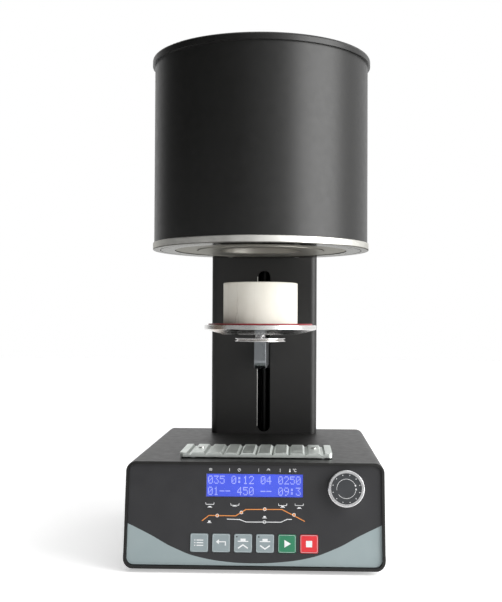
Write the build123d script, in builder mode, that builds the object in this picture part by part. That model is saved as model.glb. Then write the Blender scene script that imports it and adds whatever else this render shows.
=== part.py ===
from build123d import *
import os
from math import cos, radians, sin, tan

os.makedirs("parts", exist_ok=True)

# Dental porcelain furnace: firing head on a column, lift table below it, control box at the bottom
# Millimetres and degrees, X to the right, Y to the back, Z up, origin on the table under the middle

# Driving dimensions of the base
base_width = 265.4
base_length = 346.0
base_height = 105.8
base_wall = 3.0
base_corner = 10.0
pan_height = 15.0
foot_height = 4.0
foot_radius = 11.0
foot_inset = 32.0
lip_round = 0.8
seam = 0.4

# Driving dimensions of the control panel
panel_tilt = 9.5
panel_inset = 2.5
panel_thick = 2.0
panel_clear = 0.2
film_thick = 0.4
window_width = 99.4
window_height = 23.6
window_up = 29.85
key_width = 18.05
key_height = 18.2
key_corner = 1.7
key_proud = 0.7
key_round = 0.35
key_travel = 0.6
key_pitch = 22.3
key_down = 27.85
key_clear = 0.3
key_flange = 1.2
switch_height = 4.0
dial_inset = 39.5
dial_up = 27.45
dial_radius = 18.4
dial_rim = 2.9
dial_height = 10.5
dial_gap = 0.8
dial_recess = 0.5
spindle_radius = 3.0
spindle_fit = 0.06
board_thick = 1.6

# Driving dimensions of the column
column_width = 137.0
column_depth = 58.4
column_height = 400.0
column_wall = 2.0
column_corner = 8.0
cap_thick = 3.0
service_width = 44.0
service_height = 70.0
slot_width = 16.3
slot_foot = 2.1
slot_clear = 6.0

# Driving dimensions of the firing head
jacket_radius = 124.2
jacket_wall = 2.0
jacket_height = 205.6
head_gap = 7.55
throat = 227.3
ring_radius = 125.6
ring_thick = 8.0
ring_bore = 100.0
ring_round = 0.8
lid_radius = 127.0
lid_height = 8.0
lid_round = 3.0
mouth_radius = 47.0
chamber_height = 103.0
muffle_wall = 2.0
vessel_radius = 97.0
vessel_wall = 2.0
roof_thick = 55.0
coil_turns = 7
coil_wire = 2.0
coil_gap = 0.3

# Driving dimensions of the lift
table_drop = 84.7
seal_radius = 60.8
seal_width = 5.0
seal_proud = 1.7
seal_depth = 1.5
seal_fit = 0.1
seal_round = 1.2
seat_clear = 0.1
plate_radius = 65.3
plate_rim = 5.3
plate_cone = 5.7
plate_foot = 43.0
plinth_radius = 43.3
plinth_height = 49.0
plinth_round = 1.2
pivot_gap = 4.3
spring_radius = 5.8
spring_wire = 1.5
disc_radius = 29.3
disc_thick = 4.7
disc_hub = 15.0
arm_width = 13.5
arm_height = 31.0
arm_nose = 12.0
rod_radius = 5.0
rod_inset = 12.0
screw_radius = 5.0
running_fit = 0.05
carriage_height = 40.0
carriage_play = 4.0
carriage_depth = 32.0
carriage_offset = 19.7
frame_wall = 3.0
frame_inset = 11.5
frame_clear = 2.0
bearing_thick = 8.0
motor_width = 42.0
motor_height = 44.0

# Driving dimensions of the tray and the rear fittings
tray_width = 161.0
tray_depth = 75.0
tray_height = 4.6
tray_gap = 1.5
tray_setback = 26.0
tray_grooves = 9
tray_pitch = 17.5
groove_top = 6.0
groove_floor = 2.0
groove_depth = 2.2
nozzle_reach = 18.0
nozzle_radius = 4.0
nozzle_bore = 2.6
line_radius = 4.0

# Places worked out from the driving dimensions
front = -(base_length + nozzle_reach) / 2
back = front + base_length
pan_floor = foot_height + base_wall
base_top = foot_height + base_height
column_front = back - column_depth
column_top = base_top + column_height
axis_y = column_front - head_gap - jacket_radius
ring_bottom = base_top + throat
ring_top = ring_bottom + ring_thick
jacket_top = ring_top + jacket_height
roof_bottom = ring_bottom + chamber_height
seal_top = ring_bottom - table_drop - seat_clear
plate_top = seal_top - seal_proud
rim_bottom = plate_top - plate_rim
plate_bottom = rim_bottom - plate_cone
disc_top = plate_bottom - pivot_gap
arm_top = disc_top - disc_thick
arm_bottom = arm_top - arm_height
arm_middle = arm_top - arm_height / 2
slot_bottom = base_top + slot_foot
slot_top = arm_top + table_drop + slot_clear
tilt = radians(panel_tilt)
inner_width = base_width - 2 * base_wall
inner_height = base_height - 2 * base_wall
panel_width = inner_width - 2 * panel_clear
panel_stack = film_thick + panel_thick
panel_height = inner_height / cos(tilt) - 2 * panel_clear - panel_stack * tan(tilt)
panel_shift = panel_stack / 2 * tan(tilt)

frame_front = column_front + column_wall + frame_clear
frame_back = back - column_wall - frame_clear
screw_y = (frame_front + frame_back - frame_wall) / 2
frame_width = column_width - 2 * column_wall - 2 * frame_inset
carriage_width = frame_width - 2 * frame_wall - 2 * carriage_play
rod_spread = carriage_width / 2 - rod_inset
dial_x = base_width / 2 - dial_inset
port_z = (roof_bottom + ring_top) / 2

# Planes: the tilted front edge of the base, the panel behind it, and the axis of the head
middle_z = foot_height + base_height / 2
lip = Plane(
    origin=(0, front + base_height / 2 * tan(tilt), middle_z),
    x_dir=(1, 0, 0),
    z_dir=(0, -cos(tilt), sin(tilt)),
)
film_face = Plane(
    origin=lip.from_local_coords((0, panel_inset * tan(tilt), -panel_inset)),
    x_dir=(1, 0, 0),
    z_dir=lip.z_dir,
)
plate_face = film_face.offset(-film_thick)
panel_back = plate_face.offset(-panel_thick)
upright = Plane(origin=(0, front, middle_z), x_dir=(1, 0, 0), z_dir=(0, -1, 0))
rear = Plane(origin=(0, back, middle_z), x_dir=(-1, 0, 0), z_dir=(0, 1, 0))
side_cut = Plane(origin=(0, axis_y, 0), x_dir=(1, 0, 0), z_dir=(0, -1, 0))


def level(height, y=0.0):
    """Horizontal plane at a height, with its origin on the middle plane at y."""
    return Plane(origin=(0, y, height), x_dir=(1, 0, 0), z_dir=(0, 0, 1))


def key_x(index):
    """Middle of a key, counted from the left."""
    return (index - 2.5) * key_pitch


# Base: bottom pan of folded sheet, with vents, feet holes and the tabs that carry the cover
tab_width = 20.0
tab_height = 24.0
tab_thick = 2.0
tab_inset = 60.0
tab_spread = base_length / 2 - tab_inset
vent_length = 40.0
vent_width = 3.0
vent_gap = 8.0
vent_pitch = 9.0
pan_vent_setback = 121.0
foot_bolt = 2.2
foot_socket = 3.7
foot_taper = 6
with BuildPart() as base_pan:
    with BuildSketch(upright):
        RectangleRounded(base_width, base_height, base_corner)
        RectangleRounded(inner_width, inner_height, base_corner - base_wall, mode=Mode.SUBTRACT)
        with Locations((0, pan_height)):
            Rectangle(base_width + base_wall, base_height, mode=Mode.SUBTRACT)
    extrude(amount=-base_length)
    with BuildSketch(level(pan_floor)):
        for side in (-1, 1):
            with Locations((side * (inner_width - tab_thick) / 2, 0)):
                with GridLocations(0, 2 * tab_spread, 1, 2):
                    Rectangle(tab_thick, tab_width)
    extrude(amount=tab_height)
    with BuildSketch(level(foot_height)):
        with Locations((0, front + pan_vent_setback)):
            with GridLocations(vent_length + vent_gap, vent_pitch, 2, 6):
                SlotOverall(vent_length, vent_width)
        with Locations((0, front + base_length / 2)):
            with GridLocations(base_width - 2 * foot_inset, base_length - 2 * foot_inset, 2, 2):
                Circle(foot_bolt)
    extrude(amount=base_wall, mode=Mode.SUBTRACT)
    split(bisect_by=lip, keep=Keep.BOTTOM)
base_pan.part.label = "base_pan"
export_step(base_pan.part, "parts/base_pan.step")

# Base: cover folded over top and sides, open under the column, its lip proud of the panel
duct_clear = 1.5
duct_width = column_width - 2 * column_wall - 2 * duct_clear
duct_depth = column_depth - 2 * column_wall - 2 * duct_clear
cover_screw_up = 10.0
cover_screw_z = foot_height + pan_height + cover_screw_up
cover_screw_radius = 1.8
head_radius = 3.4
head_thick = 1.4
screw_clear = 0.15
tray_screw_spread = 61.4
tray_front = front + base_height * tan(tilt) + tray_setback
tray_middle = tray_front + tray_depth / 2
tray_screw_back = 4.5
tray_screw_y = tray_middle + tray_screw_back
with BuildPart() as base_cover:
    with BuildSketch(upright):
        RectangleRounded(base_width, base_height, base_corner)
        with Locations((0, pan_height + seam - base_height)):
            Rectangle(base_width + base_wall, base_height, mode=Mode.SUBTRACT)
    extrude(amount=-base_length)
    split(bisect_by=lip, keep=Keep.BOTTOM)
    lip_face = base_cover.faces().sort_by(lambda face: abs(lip.to_local_coords(face.center()).Z))[0]
    fillet(lip_face.edges().sort_by(Axis.Z)[1:], lip_round)
    with BuildSketch(upright):
        RectangleRounded(inner_width, inner_height, base_corner - base_wall)
    extrude(amount=-base_length, mode=Mode.SUBTRACT)
    with BuildSketch(level(base_top, column_front + column_depth / 2)):
        RectangleRounded(duct_width, duct_depth, column_corner - column_wall)
        with Locations((0, tray_screw_y - column_front - column_depth / 2)):
            with GridLocations(2 * tray_screw_spread, 0, 2, 1):
                Circle(cover_screw_radius)
    extrude(amount=-base_wall, mode=Mode.SUBTRACT)
    for side in (-1, 1):
        with BuildSketch(Plane(origin=(side * base_width / 2, 0, cover_screw_z), z_dir=(side, 0, 0))):
            with GridLocations(0, 2 * tab_spread, 1, 2):
                Circle(head_radius + screw_clear)
        extrude(amount=-head_thick - screw_clear, mode=Mode.SUBTRACT)
        with BuildSketch(Plane(origin=(side * base_width / 2, 0, cover_screw_z), z_dir=(side, 0, 0))):
            with GridLocations(0, 2 * tab_spread, 1, 2):
                Circle(cover_screw_radius)
        extrude(amount=-base_wall, mode=Mode.SUBTRACT)
base_cover.part.label = "base_cover"
export_step(base_cover.part, "parts/base_cover.step")

# Base: rubber feet, bolted through the pan
with BuildPart() as rubber_feet:
    with BuildSketch(level(0, front + base_length / 2)):
        with GridLocations(base_width - 2 * foot_inset, base_length - 2 * foot_inset, 2, 2):
            Circle(foot_radius)
    extrude(amount=foot_height, taper=foot_taper)
    with BuildSketch(level(0, front + base_length / 2)):
        with GridLocations(base_width - 2 * foot_inset, base_length - 2 * foot_inset, 2, 2):
            Circle(foot_socket)
    extrude(amount=foot_height / 2, mode=Mode.SUBTRACT)
rubber_feet.part.label = "rubber_feet"
export_step(rubber_feet.part, "parts/rubber_feet.step")

# Panel: aluminium plate with holes for the display, the keys and the dial's spindle
bush_radius = 4.5
with BuildPart() as front_panel:
    with BuildSketch(plate_face):
        with Locations((0, panel_shift)):
            RectangleRounded(panel_width, panel_height, base_corner - base_wall)
        with Locations((0, window_up)):
            Rectangle(window_width, window_height, mode=Mode.SUBTRACT)
        with Locations((0, -key_down)):
            with GridLocations(key_pitch, 0, 6, 1):
                RectangleRounded(
                    key_width + 2 * key_clear, key_height + 2 * key_clear, key_corner, mode=Mode.SUBTRACT
                )
        with Locations((dial_x, dial_up)):
            Circle(bush_radius, mode=Mode.SUBTRACT)
    extrude(amount=-panel_thick)
front_panel.part.label = "front_panel"
export_step(front_panel.part, "parts/front_panel.step")

# Panel: printed film laid over the plate, cut out at the display, the keys and the dial
with BuildPart() as panel_film:
    with BuildSketch(film_face):
        with Locations((0, panel_shift)):
            RectangleRounded(panel_width, panel_height, base_corner - base_wall)
        with Locations((0, window_up)):
            Rectangle(window_width, window_height, mode=Mode.SUBTRACT)
        with Locations((0, -key_down)):
            with GridLocations(key_pitch, 0, 6, 1):
                RectangleRounded(
                    key_width + 2 * key_clear, key_height + 2 * key_clear, key_corner, mode=Mode.SUBTRACT
                )
        with Locations((dial_x, dial_up)):
            Circle(bush_radius, mode=Mode.SUBTRACT)
    extrude(amount=-film_thick)
panel_film.part.label = "panel_film"
export_step(panel_film.part, "parts/panel_film.step")

# Panel: clear window let into the plate, flush with the film
with BuildPart() as display_window:
    with BuildSketch(film_face):
        with Locations((0, window_up)):
            Rectangle(window_width - 2 * panel_clear, window_height - 2 * panel_clear)
    extrude(amount=-film_thick - panel_thick)
display_window.part.label = "display_window"
export_step(display_window.part, "parts/display_window.step")

# Panel: character display, a board with a metal bezel round its glass, behind the window
module_width = 122.0
module_height = 42.0
bezel_border = 4.0
bezel_thick = 6.0
glass_sink = 1.0
module_hole = 1.6
hole_inset = 3.0
with BuildPart() as display_module:
    with BuildSketch(panel_back):
        with Locations((0, window_up)):
            Rectangle(window_width + 2 * bezel_border, window_height + 2 * bezel_border)
    extrude(amount=-bezel_thick)
    with BuildSketch(panel_back):
        with Locations((0, window_up)):
            Rectangle(window_width, window_height)
    extrude(amount=-glass_sink, mode=Mode.SUBTRACT)
    with BuildSketch(panel_back.offset(-bezel_thick)):
        with Locations((0, window_up)):
            Rectangle(module_width, module_height)
            with GridLocations(module_width - 2 * hole_inset, module_height - 2 * hole_inset, 2, 2):
                Circle(module_hole, mode=Mode.SUBTRACT)
    extrude(amount=-board_thick)
display_module.part.label = "display_module"
export_step(display_module.part, "parts/display_module.step")

# Panel: six keys, each a cap with a retaining flange behind the plate and a stem to its switch
flange_play = 3 * key_clear
key_names = ("key_menu", "key_back", "key_up", "key_down", "key_start", "key_stop")
stem_width = 5.0
key_seat = 0.1
stem_length = 5.0
for index, key_name in enumerate(key_names):
    with BuildPart() as key:
        with BuildSketch(film_face.offset(key_proud)):
            with Locations((key_x(index), -key_down)):
                RectangleRounded(key_width, key_height, key_corner)
        extrude(amount=-key_proud - film_thick - panel_thick - key_seat)
        top_edges = key.edges().filter_by(
            lambda edge: abs(film_face.to_local_coords(edge.center()).Z - key_proud) < 0.01
        )
        fillet(top_edges, key_round)
        with BuildSketch(panel_back.offset(-key_seat)):
            with Locations((key_x(index), -key_down)):
                Rectangle(key_width + flange_play, key_height + flange_play)
        extrude(amount=-key_flange)
        with BuildSketch(panel_back.offset(-key_seat - key_flange)):
            with Locations((key_x(index), -key_down)):
                Rectangle(stem_width, stem_width)
        extrude(amount=-stem_length)
    key.part.label = key_name
    export_step(key.part, f"parts/{key_name}.step")

# Panel: control board behind the keys, with the six switches, chips and its fixing pillars
board_inset = 19.7
board_width = inner_width - 2 * board_inset
board_height = 34.0
board_up = 1.0
switch_width = 6.2
switch_gap = 0.1
board_depth = key_seat + key_flange + stem_length + key_travel + switch_gap + switch_height
board_face = panel_back.offset(-board_depth)
pillar_radius = 3.0
pillar_inset = 5.0
chip_width = 22.0
chip_thick = 3.0
plug_width = 36.0
plug_depth = 9.0
with BuildPart() as control_board:
    with BuildSketch(board_face):
        with Locations((0, -key_down + board_up)):
            Rectangle(board_width, board_height)
    extrude(amount=-board_thick)
    with BuildSketch(board_face):
        with Locations((0, -key_down)):
            with GridLocations(key_pitch, 0, 6, 1):
                Rectangle(switch_width, switch_width)
    extrude(amount=switch_height)
    with BuildSketch(board_face):
        with Locations((0, -key_down + board_up)):
            with GridLocations(board_width - 2 * pillar_inset, board_height - 2 * pillar_inset, 2, 2):
                Circle(pillar_radius)
    extrude(amount=board_depth)
    with BuildSketch(board_face.offset(-board_thick)):
        with Locations((-2 * chip_width, -key_down), (0, -key_down)):
            Rectangle(chip_width, chip_width)
        with Locations((board_width / 2 - plug_width, -key_down)):
            Rectangle(plug_width, plug_depth)
    extrude(amount=-chip_thick)
control_board.part.label = "control_board"
export_step(control_board.part, "parts/control_board.step")

# Panel: dial encoder, a square case with a threaded bush through the plate
encoder_width = 13.0
encoder_depth = 8.0
nut_radius = 7.0
nut_thick = 2.0
bush_clear = 0.2
with BuildPart() as dial_encoder:
    with BuildSketch(panel_back):
        with Locations((dial_x, dial_up)):
            Rectangle(encoder_width, encoder_width)
    extrude(amount=-encoder_depth)
    with BuildSketch(panel_back):
        with Locations((dial_x, dial_up)):
            Circle(bush_radius - bush_clear)
    extrude(amount=panel_thick + film_thick + nut_thick)
    with BuildSketch(film_face):
        with Locations((dial_x, dial_up)):
            RegularPolygon(nut_radius, 6)
    extrude(amount=nut_thick)
    with BuildSketch(panel_back.offset(-encoder_depth)):
        with Locations((dial_x, dial_up)):
            Circle(spindle_radius + spindle_fit)
    extrude(amount=encoder_depth + panel_thick + film_thick + nut_thick, mode=Mode.SUBTRACT)
dial_encoder.part.label = "dial_encoder"
export_step(dial_encoder.part, "parts/dial_encoder.step")

# Dial: steel spindle, turning in the encoder's bush
cap_skin = 3.0
spindle_start = 0.5
spindle_top = dial_height - dial_recess - cap_skin
with BuildPart() as dial_spindle:
    with BuildSketch(panel_back.offset(spindle_start - encoder_depth)):
        with Locations((dial_x, dial_up)):
            Circle(spindle_radius)
    extrude(amount=encoder_depth - spindle_start + panel_thick + film_thick + dial_gap + spindle_top)
dial_spindle.part.label = "dial_spindle"
export_step(dial_spindle.part, "parts/dial_spindle.step")

# Dial: turned metal ring, its web on the spindle
dial_web = 2.5
dial_pocket = 5.0
dial_edge = 0.6
bore_fit = 0.02
with BuildPart() as dial_ring:
    with BuildSketch(film_face.offset(dial_gap)):
        with Locations((dial_x, dial_up)):
            Circle(dial_radius)
    extrude(amount=dial_height)
    chamfer(dial_ring.edges().filter_by(GeomType.CIRCLE), dial_edge)
    with BuildSketch(film_face.offset(dial_gap)):
        with Locations((dial_x, dial_up)):
            Circle(dial_radius - dial_rim)
    extrude(amount=dial_height - dial_pocket - dial_web, mode=Mode.SUBTRACT)
    with BuildSketch(film_face.offset(dial_gap + dial_height)):
        with Locations((dial_x, dial_up)):
            Circle(dial_radius - dial_rim)
    extrude(amount=-dial_pocket, mode=Mode.SUBTRACT)
    with BuildSketch(film_face.offset(dial_gap)):
        with Locations((dial_x, dial_up)):
            Circle(spindle_radius + bore_fit)
    extrude(amount=dial_height, mode=Mode.SUBTRACT)
dial_ring.part.label = "dial_ring"
export_step(dial_ring.part, "parts/dial_ring.step")

# Dial: dark cap let into the ring, a little below its rim
cap_clear = 0.1
with BuildPart() as dial_cap:
    with BuildSketch(film_face.offset(dial_gap + dial_height - dial_pocket)):
        with Locations((dial_x, dial_up)):
            Circle(dial_radius - dial_rim - cap_clear)
    extrude(amount=dial_pocket - dial_recess)
    with BuildSketch(film_face.offset(dial_gap + dial_height - dial_pocket)):
        with Locations((dial_x, dial_up)):
            Circle(spindle_radius + cap_clear)
    extrude(amount=spindle_top - dial_height + dial_pocket + cap_clear, mode=Mode.SUBTRACT)
dial_cap.part.label = "dial_cap"
export_step(dial_cap.part, "parts/dial_cap.step")

# Rear: panel with its cut-outs and vents
fitting_drop = 14.0
inlet_width = 27.5
inlet_height = 47.0
pump_width = 27.5
pump_height = 22.0
flange_border = 2.2
inlet_gap = 19.25
pump_gap = 5.25
vent_room = 14.05
inlet_x = (frame_width + inlet_width) / 2 + inlet_gap
pump_x = -(frame_width + pump_width) / 2 - pump_gap
nozzle_x = (pump_x - pump_width / 2 - flange_border - inner_width / 2) / 2
rear_vent = -pump_x - pump_width / 2 - flange_border - vent_room - vent_gap / 2
rear_thick = 2.0
rear_face = rear.offset(-1.0)
nozzle_clear = 1.0
with BuildPart() as rear_panel:
    with BuildSketch(rear_face):
        RectangleRounded(panel_width, inner_height - 2 * panel_clear, base_corner - base_wall)
        with Locations((inlet_x, 0)):
            Rectangle(inlet_width, inlet_height, mode=Mode.SUBTRACT)
        with Locations((pump_x, -fitting_drop)):
            Rectangle(pump_width, pump_height, mode=Mode.SUBTRACT)
        with Locations((nozzle_x, -fitting_drop)):
            Circle(nozzle_radius + nozzle_clear, mode=Mode.SUBTRACT)
        with Locations((0, panel_clear)):
            with GridLocations(rear_vent + vent_gap, vent_pitch, 2, 6):
                SlotOverall(rear_vent, vent_width, mode=Mode.SUBTRACT)
    extrude(amount=-rear_thick)
rear_panel.part.label = "rear_panel"
export_step(rear_panel.part, "parts/rear_panel.step")

# Rear: mains inlet with its fuse drawer and the frame of the rocker switch above it
flange_thick = 2.0
flange_corner = 2.0
inlet_depth = 24.0
pin_spread = 7.0
pin_down = 2.0
pin_up = 4.0
pin_thick = 2.0
pin_height = 4.0
pin_sink = 3.0
socket_width = 24.2
socket_height = 16.4
socket_depth = 15.0
rocker_width = 13.0
rocker_length = 19.5
rocker_up = 13.0
socket_down = 12.0
fitting_face = rear_face.offset(flange_thick)
with BuildPart() as mains_inlet:
    with BuildSketch(rear_face):
        with Locations((inlet_x, 0)):
            RectangleRounded(inlet_width + 2 * flange_border, inlet_height + 2 * flange_border, flange_corner)
    extrude(amount=flange_thick)
    with BuildSketch(rear_face):
        with Locations((inlet_x, 0)):
            Rectangle(inlet_width - 2 * panel_clear, inlet_height - 2 * panel_clear)
    extrude(amount=-inlet_depth)
    with BuildSketch(fitting_face):
        with Locations((inlet_x, -socket_down)):
            Rectangle(socket_width, socket_height)
        with Locations((inlet_x, rocker_up)):
            Rectangle(rocker_length, rocker_width)
    extrude(amount=-socket_depth, mode=Mode.SUBTRACT)
    with BuildSketch(fitting_face.offset(-socket_depth)):
        with Locations((inlet_x, -socket_down - pin_down)):
            with GridLocations(2 * pin_spread, 0, 2, 1):
                Rectangle(pin_thick, pin_height)
        with Locations((inlet_x, -socket_down + pin_up)):
            Rectangle(pin_thick, pin_height)
    extrude(amount=socket_depth - pin_sink)
mains_inlet.part.label = "mains_inlet"
export_step(mains_inlet.part, "parts/mains_inlet.step")

# Rear: rocker of the mains switch, an arc about its pivot with a shallow valley on top
rocker_clear = 0.4
rocker_radius = rocker_length / 2 - rocker_clear
rocker_swing = 16.0
rocker_depth = 4.0
valley_rise = 3.2
rocker_axis_y = fitting_face.origin.Y - rocker_depth
rocker_z = middle_z + rocker_up
rocker_plane = Plane(origin=(-inlet_x, rocker_axis_y, rocker_z), x_dir=(1, 0, 0), z_dir=(0, 0, 1))
with BuildPart() as mains_rocker:
    with BuildSketch(rocker_plane):
        Circle(rocker_radius)
        with BuildLine():
            Polyline(
                (-rocker_radius, -rocker_radius / 2),
                (rocker_radius, -rocker_radius / 2),
                (rocker_radius, valley_rise + rocker_radius * sin(radians(rocker_swing / 2))),
                (0, valley_rise),
                (-rocker_radius, valley_rise + rocker_radius * sin(radians(rocker_swing / 2))),
                close=True,
            )
        make_face(mode=Mode.INTERSECT)
    extrude(amount=rocker_width / 2 - rocker_clear, both=True)
mains_rocker.part = mains_rocker.part.rotate(
    Axis((-inlet_x, rocker_axis_y, rocker_z), (0, 0, 1)), rocker_swing / 2
)
mains_rocker.part.label = "mains_rocker"
export_step(mains_rocker.part, "parts/mains_rocker.step")

# Rear: mains socket for the vacuum pump
slot_play = 0.3
with BuildPart() as pump_socket:
    with BuildSketch(rear_face):
        with Locations((pump_x, -fitting_drop)):
            RectangleRounded(pump_width + 2 * flange_border, pump_height + 2 * flange_border, flange_corner)
    extrude(amount=flange_thick)
    with BuildSketch(rear_face):
        with Locations((pump_x, -fitting_drop)):
            Rectangle(pump_width - 2 * panel_clear, pump_height - 2 * panel_clear)
    extrude(amount=-inlet_depth)
    with BuildSketch(fitting_face):
        with Locations((pump_x, -fitting_drop - pin_down)):
            with GridLocations(2 * pin_spread, 0, 2, 1):
                Rectangle(pin_thick + 2 * slot_play, pin_height + 2 * slot_play)
        with Locations((pump_x, -fitting_drop + pin_up)):
            Rectangle(pin_thick + 2 * slot_play, pin_height + 2 * slot_play)
    extrude(amount=-socket_depth, mode=Mode.SUBTRACT)
pump_socket.part.label = "pump_socket"
export_step(pump_socket.part, "parts/pump_socket.step")

# Rear: turned hose nozzle with its hexagon against the panel
hexagon_radius = 8.0
hexagon_thick = 4.0
nozzle_inside = 26.0
with BuildPart() as vacuum_nozzle:
    with BuildSketch(rear_face):
        with Locations((nozzle_x, -fitting_drop)):
            RegularPolygon(hexagon_radius, 6)
    extrude(amount=hexagon_thick)
    with BuildSketch(rear.offset(-nozzle_inside)):
        with Locations((nozzle_x, -fitting_drop)):
            Circle(nozzle_radius)
    extrude(amount=nozzle_inside + nozzle_reach)
    with BuildSketch(rear.offset(nozzle_reach)):
        with Locations((nozzle_x, -fitting_drop)):
            Circle(nozzle_bore)
    extrude(amount=-nozzle_reach - nozzle_inside, mode=Mode.SUBTRACT)
vacuum_nozzle.part.label = "vacuum_nozzle"
export_step(vacuum_nozzle.part, "parts/vacuum_nozzle.step")

# Inside the base: vacuum valve, a block on the nozzle with its coil on top
valve_width = 30.0
valve_height = 26.0
coil_height = 26.0
coil_inset = 2.0
valve_shift = 9.0
valve_x = -nozzle_x - valve_shift
nozzle_z = middle_z - fitting_drop
valve_back = back - nozzle_inside
with BuildPart() as vacuum_valve:
    with BuildSketch(level(pan_floor, valve_back - valve_width / 2)):
        with Locations((valve_x, 0)):
            Rectangle(valve_width, valve_width)
    extrude(amount=nozzle_z - pan_floor + valve_height / 2)
    with BuildSketch(level(nozzle_z + valve_height / 2, valve_back - valve_width / 2)):
        with Locations((valve_x, 0)):
            Circle(valve_width / 2 - coil_inset)
    extrude(amount=coil_height)
vacuum_valve.part.label = "vacuum_valve"
export_step(vacuum_valve.part, "parts/vacuum_valve.step")

# Inside the base: ring-core transformer bolted to the pan through its washer
core_radius = 46.0
core_bore = 16.0
core_height = 42.0
core_round = 9.0
washer_thick = 1.5
bolt_radius = 4.0
bolt_head_radius = 6.0
bolt_head_height = 5.0
core_x = -inner_width / 4
core_setback = 136.0
core_y = front + core_setback
with BuildPart() as transformer:
    with BuildSketch(Plane(origin=(core_x, core_y, pan_floor), x_dir=(1, 0, 0), z_dir=(0, -1, 0))):
        with Locations(((core_radius + core_bore) / 2, core_height / 2)):
            RectangleRounded(core_radius - core_bore, core_height, core_round)
        with Locations((core_bore, core_height + washer_thick / 2)):
            Rectangle(2 * core_bore, washer_thick)
        with Locations((bolt_radius / 2, core_height / 2)):
            Rectangle(bolt_radius, core_height)
        with Locations((bolt_head_radius / 2, core_height + bolt_head_height / 2)):
            Rectangle(bolt_head_radius, bolt_head_height)
    revolve(axis=Axis((core_x, core_y, 0), (0, 0, 1)))
transformer.part.label = "transformer"
export_step(transformer.part, "parts/transformer.step")

# Inside the base: power board on pillars, with its heat sink and capacitors
board_room = 14.85
power_x = inner_width / 4
power_width = inner_width / 2 - 2 * board_room
power_depth = 120.0
power_lift = 8.0
sink_width = 44.0
sink_depth = 60.0
sink_height = 32.0
sink_pitch = 8.0
sink_gap = 4.5
sink_web = 4.0
block_offset = power_width / 5
can_radius = 11.0
with BuildPart() as power_board:
    with BuildSketch(level(pan_floor + power_lift, core_y)):
        with Locations((power_x, 0)):
            Rectangle(power_width, power_depth)
    extrude(amount=board_thick)
    with BuildSketch(level(pan_floor, core_y)):
        with Locations((power_x, 0)):
            with GridLocations(power_width - 2 * pillar_inset, power_depth - 2 * pillar_inset, 2, 2):
                Circle(pillar_radius)
    extrude(amount=power_lift)
    with BuildSketch(level(pan_floor + power_lift + board_thick, core_y)):
        with Locations((power_x - block_offset, block_offset)):
            Rectangle(sink_width, sink_depth)
            with GridLocations(sink_pitch, 0, 5, 1):
                Rectangle(sink_gap, sink_depth - sink_web, mode=Mode.SUBTRACT)
        with Locations((power_x + 1.5 * block_offset, block_offset)):
            with GridLocations(0, 1.5 * block_offset, 1, 2):
                Circle(can_radius)
    extrude(amount=sink_height)
power_board.part.label = "power_board"
export_step(power_board.part, "parts/power_board.step")

# Column: shell folded from sheet, round front corners, long slot for the arm
with BuildPart() as column_shell:
    with BuildSketch(level(base_top, column_front + (column_depth - column_wall) / 2)) as shell_plan:
        Rectangle(column_width, column_depth - column_wall)
        fillet(shell_plan.vertices().group_by(Axis.Y)[0], column_corner)
        with Locations((0, column_wall + column_corner)):
            RectangleRounded(
                column_width - 2 * column_wall,
                column_depth - column_wall + 2 * column_corner,
                column_corner - column_wall,
                mode=Mode.SUBTRACT,
            )
    extrude(amount=column_height)
    with BuildSketch(Plane(origin=(0, column_front, 0), x_dir=(1, 0, 0), z_dir=(0, -1, 0))):
        with Locations((0, (slot_bottom + slot_top) / 2)):
            SlotOverall(slot_top - slot_bottom, slot_width, rotation=90)
        with Locations((0, port_z)):
            Rectangle(service_width, service_height)
    extrude(amount=-column_wall, mode=Mode.SUBTRACT)
column_shell.part.label = "column_shell"
export_step(column_shell.part, "parts/column_shell.step")

# Column: rear cover with two rows of vents
vent_end = 48.0
with BuildPart() as column_back:
    with BuildSketch(Plane(origin=(0, back, base_top), x_dir=(-1, 0, 0), z_dir=(0, 1, 0))):
        with Locations((0, column_height / 2)):
            Rectangle(column_width, column_height)
        for height in (vent_end, column_height - vent_end):
            with Locations((0, height)):
                with GridLocations(vent_length + vent_gap, vent_pitch, 2, 4):
                    SlotOverall(vent_length, vent_width, mode=Mode.SUBTRACT)
    extrude(amount=-column_wall)
column_back.part.label = "column_back"
export_step(column_back.part, "parts/column_back.step")

# Column: top cap
cap_round = 1.0
with BuildPart() as column_cap:
    with BuildSketch(level(column_top, column_front + column_depth / 2)) as cap_plan:
        Rectangle(column_width, column_depth)
        fillet(cap_plan.vertices().group_by(Axis.Y)[0], column_corner)
    extrude(amount=cap_thick)
    fillet(column_cap.edges().group_by(Axis.Z)[-1], cap_round)
column_cap.part.label = "column_cap"
export_step(column_cap.part, "parts/column_cap.step")

# Lift frame: channel standing on the pan, with the cross web that the head is bolted to
web_lift = 4.0
web_height = 130.0
web_thick = 6.0
frame_spare = 5.0
line_way = 24.0
web_low = ring_top + web_lift
web_high = web_low + web_height
frame_top = web_high + frame_spare
with BuildPart() as lift_frame:
    with BuildSketch(level(pan_floor)):
        with Locations((0, frame_back - frame_wall / 2)):
            Rectangle(frame_width, frame_wall)
        with Locations((0, (frame_back + frame_front) / 2)):
            with GridLocations(frame_width - frame_wall, 0, 2, 1):
                Rectangle(frame_wall, frame_back - frame_front)
    extrude(amount=frame_top - pan_floor)
    with BuildSketch(level(web_low)):
        with Locations((0, column_front + column_wall + web_thick / 2)):
            Rectangle(frame_width, web_thick)
    extrude(amount=web_high - web_low)
    with BuildSketch(Plane(origin=(0, column_front, port_z), x_dir=(1, 0, 0), z_dir=(0, -1, 0))):
        Rectangle(service_width, service_height)
    extrude(amount=-column_wall - web_thick, mode=Mode.SUBTRACT)
    with BuildSketch(Plane(origin=(0, screw_y, port_z), x_dir=(0, 1, 0), z_dir=(1, 0, 0))):
        Rectangle(line_way, service_height)
    extrude(amount=frame_width, both=True, mode=Mode.SUBTRACT)
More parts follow.
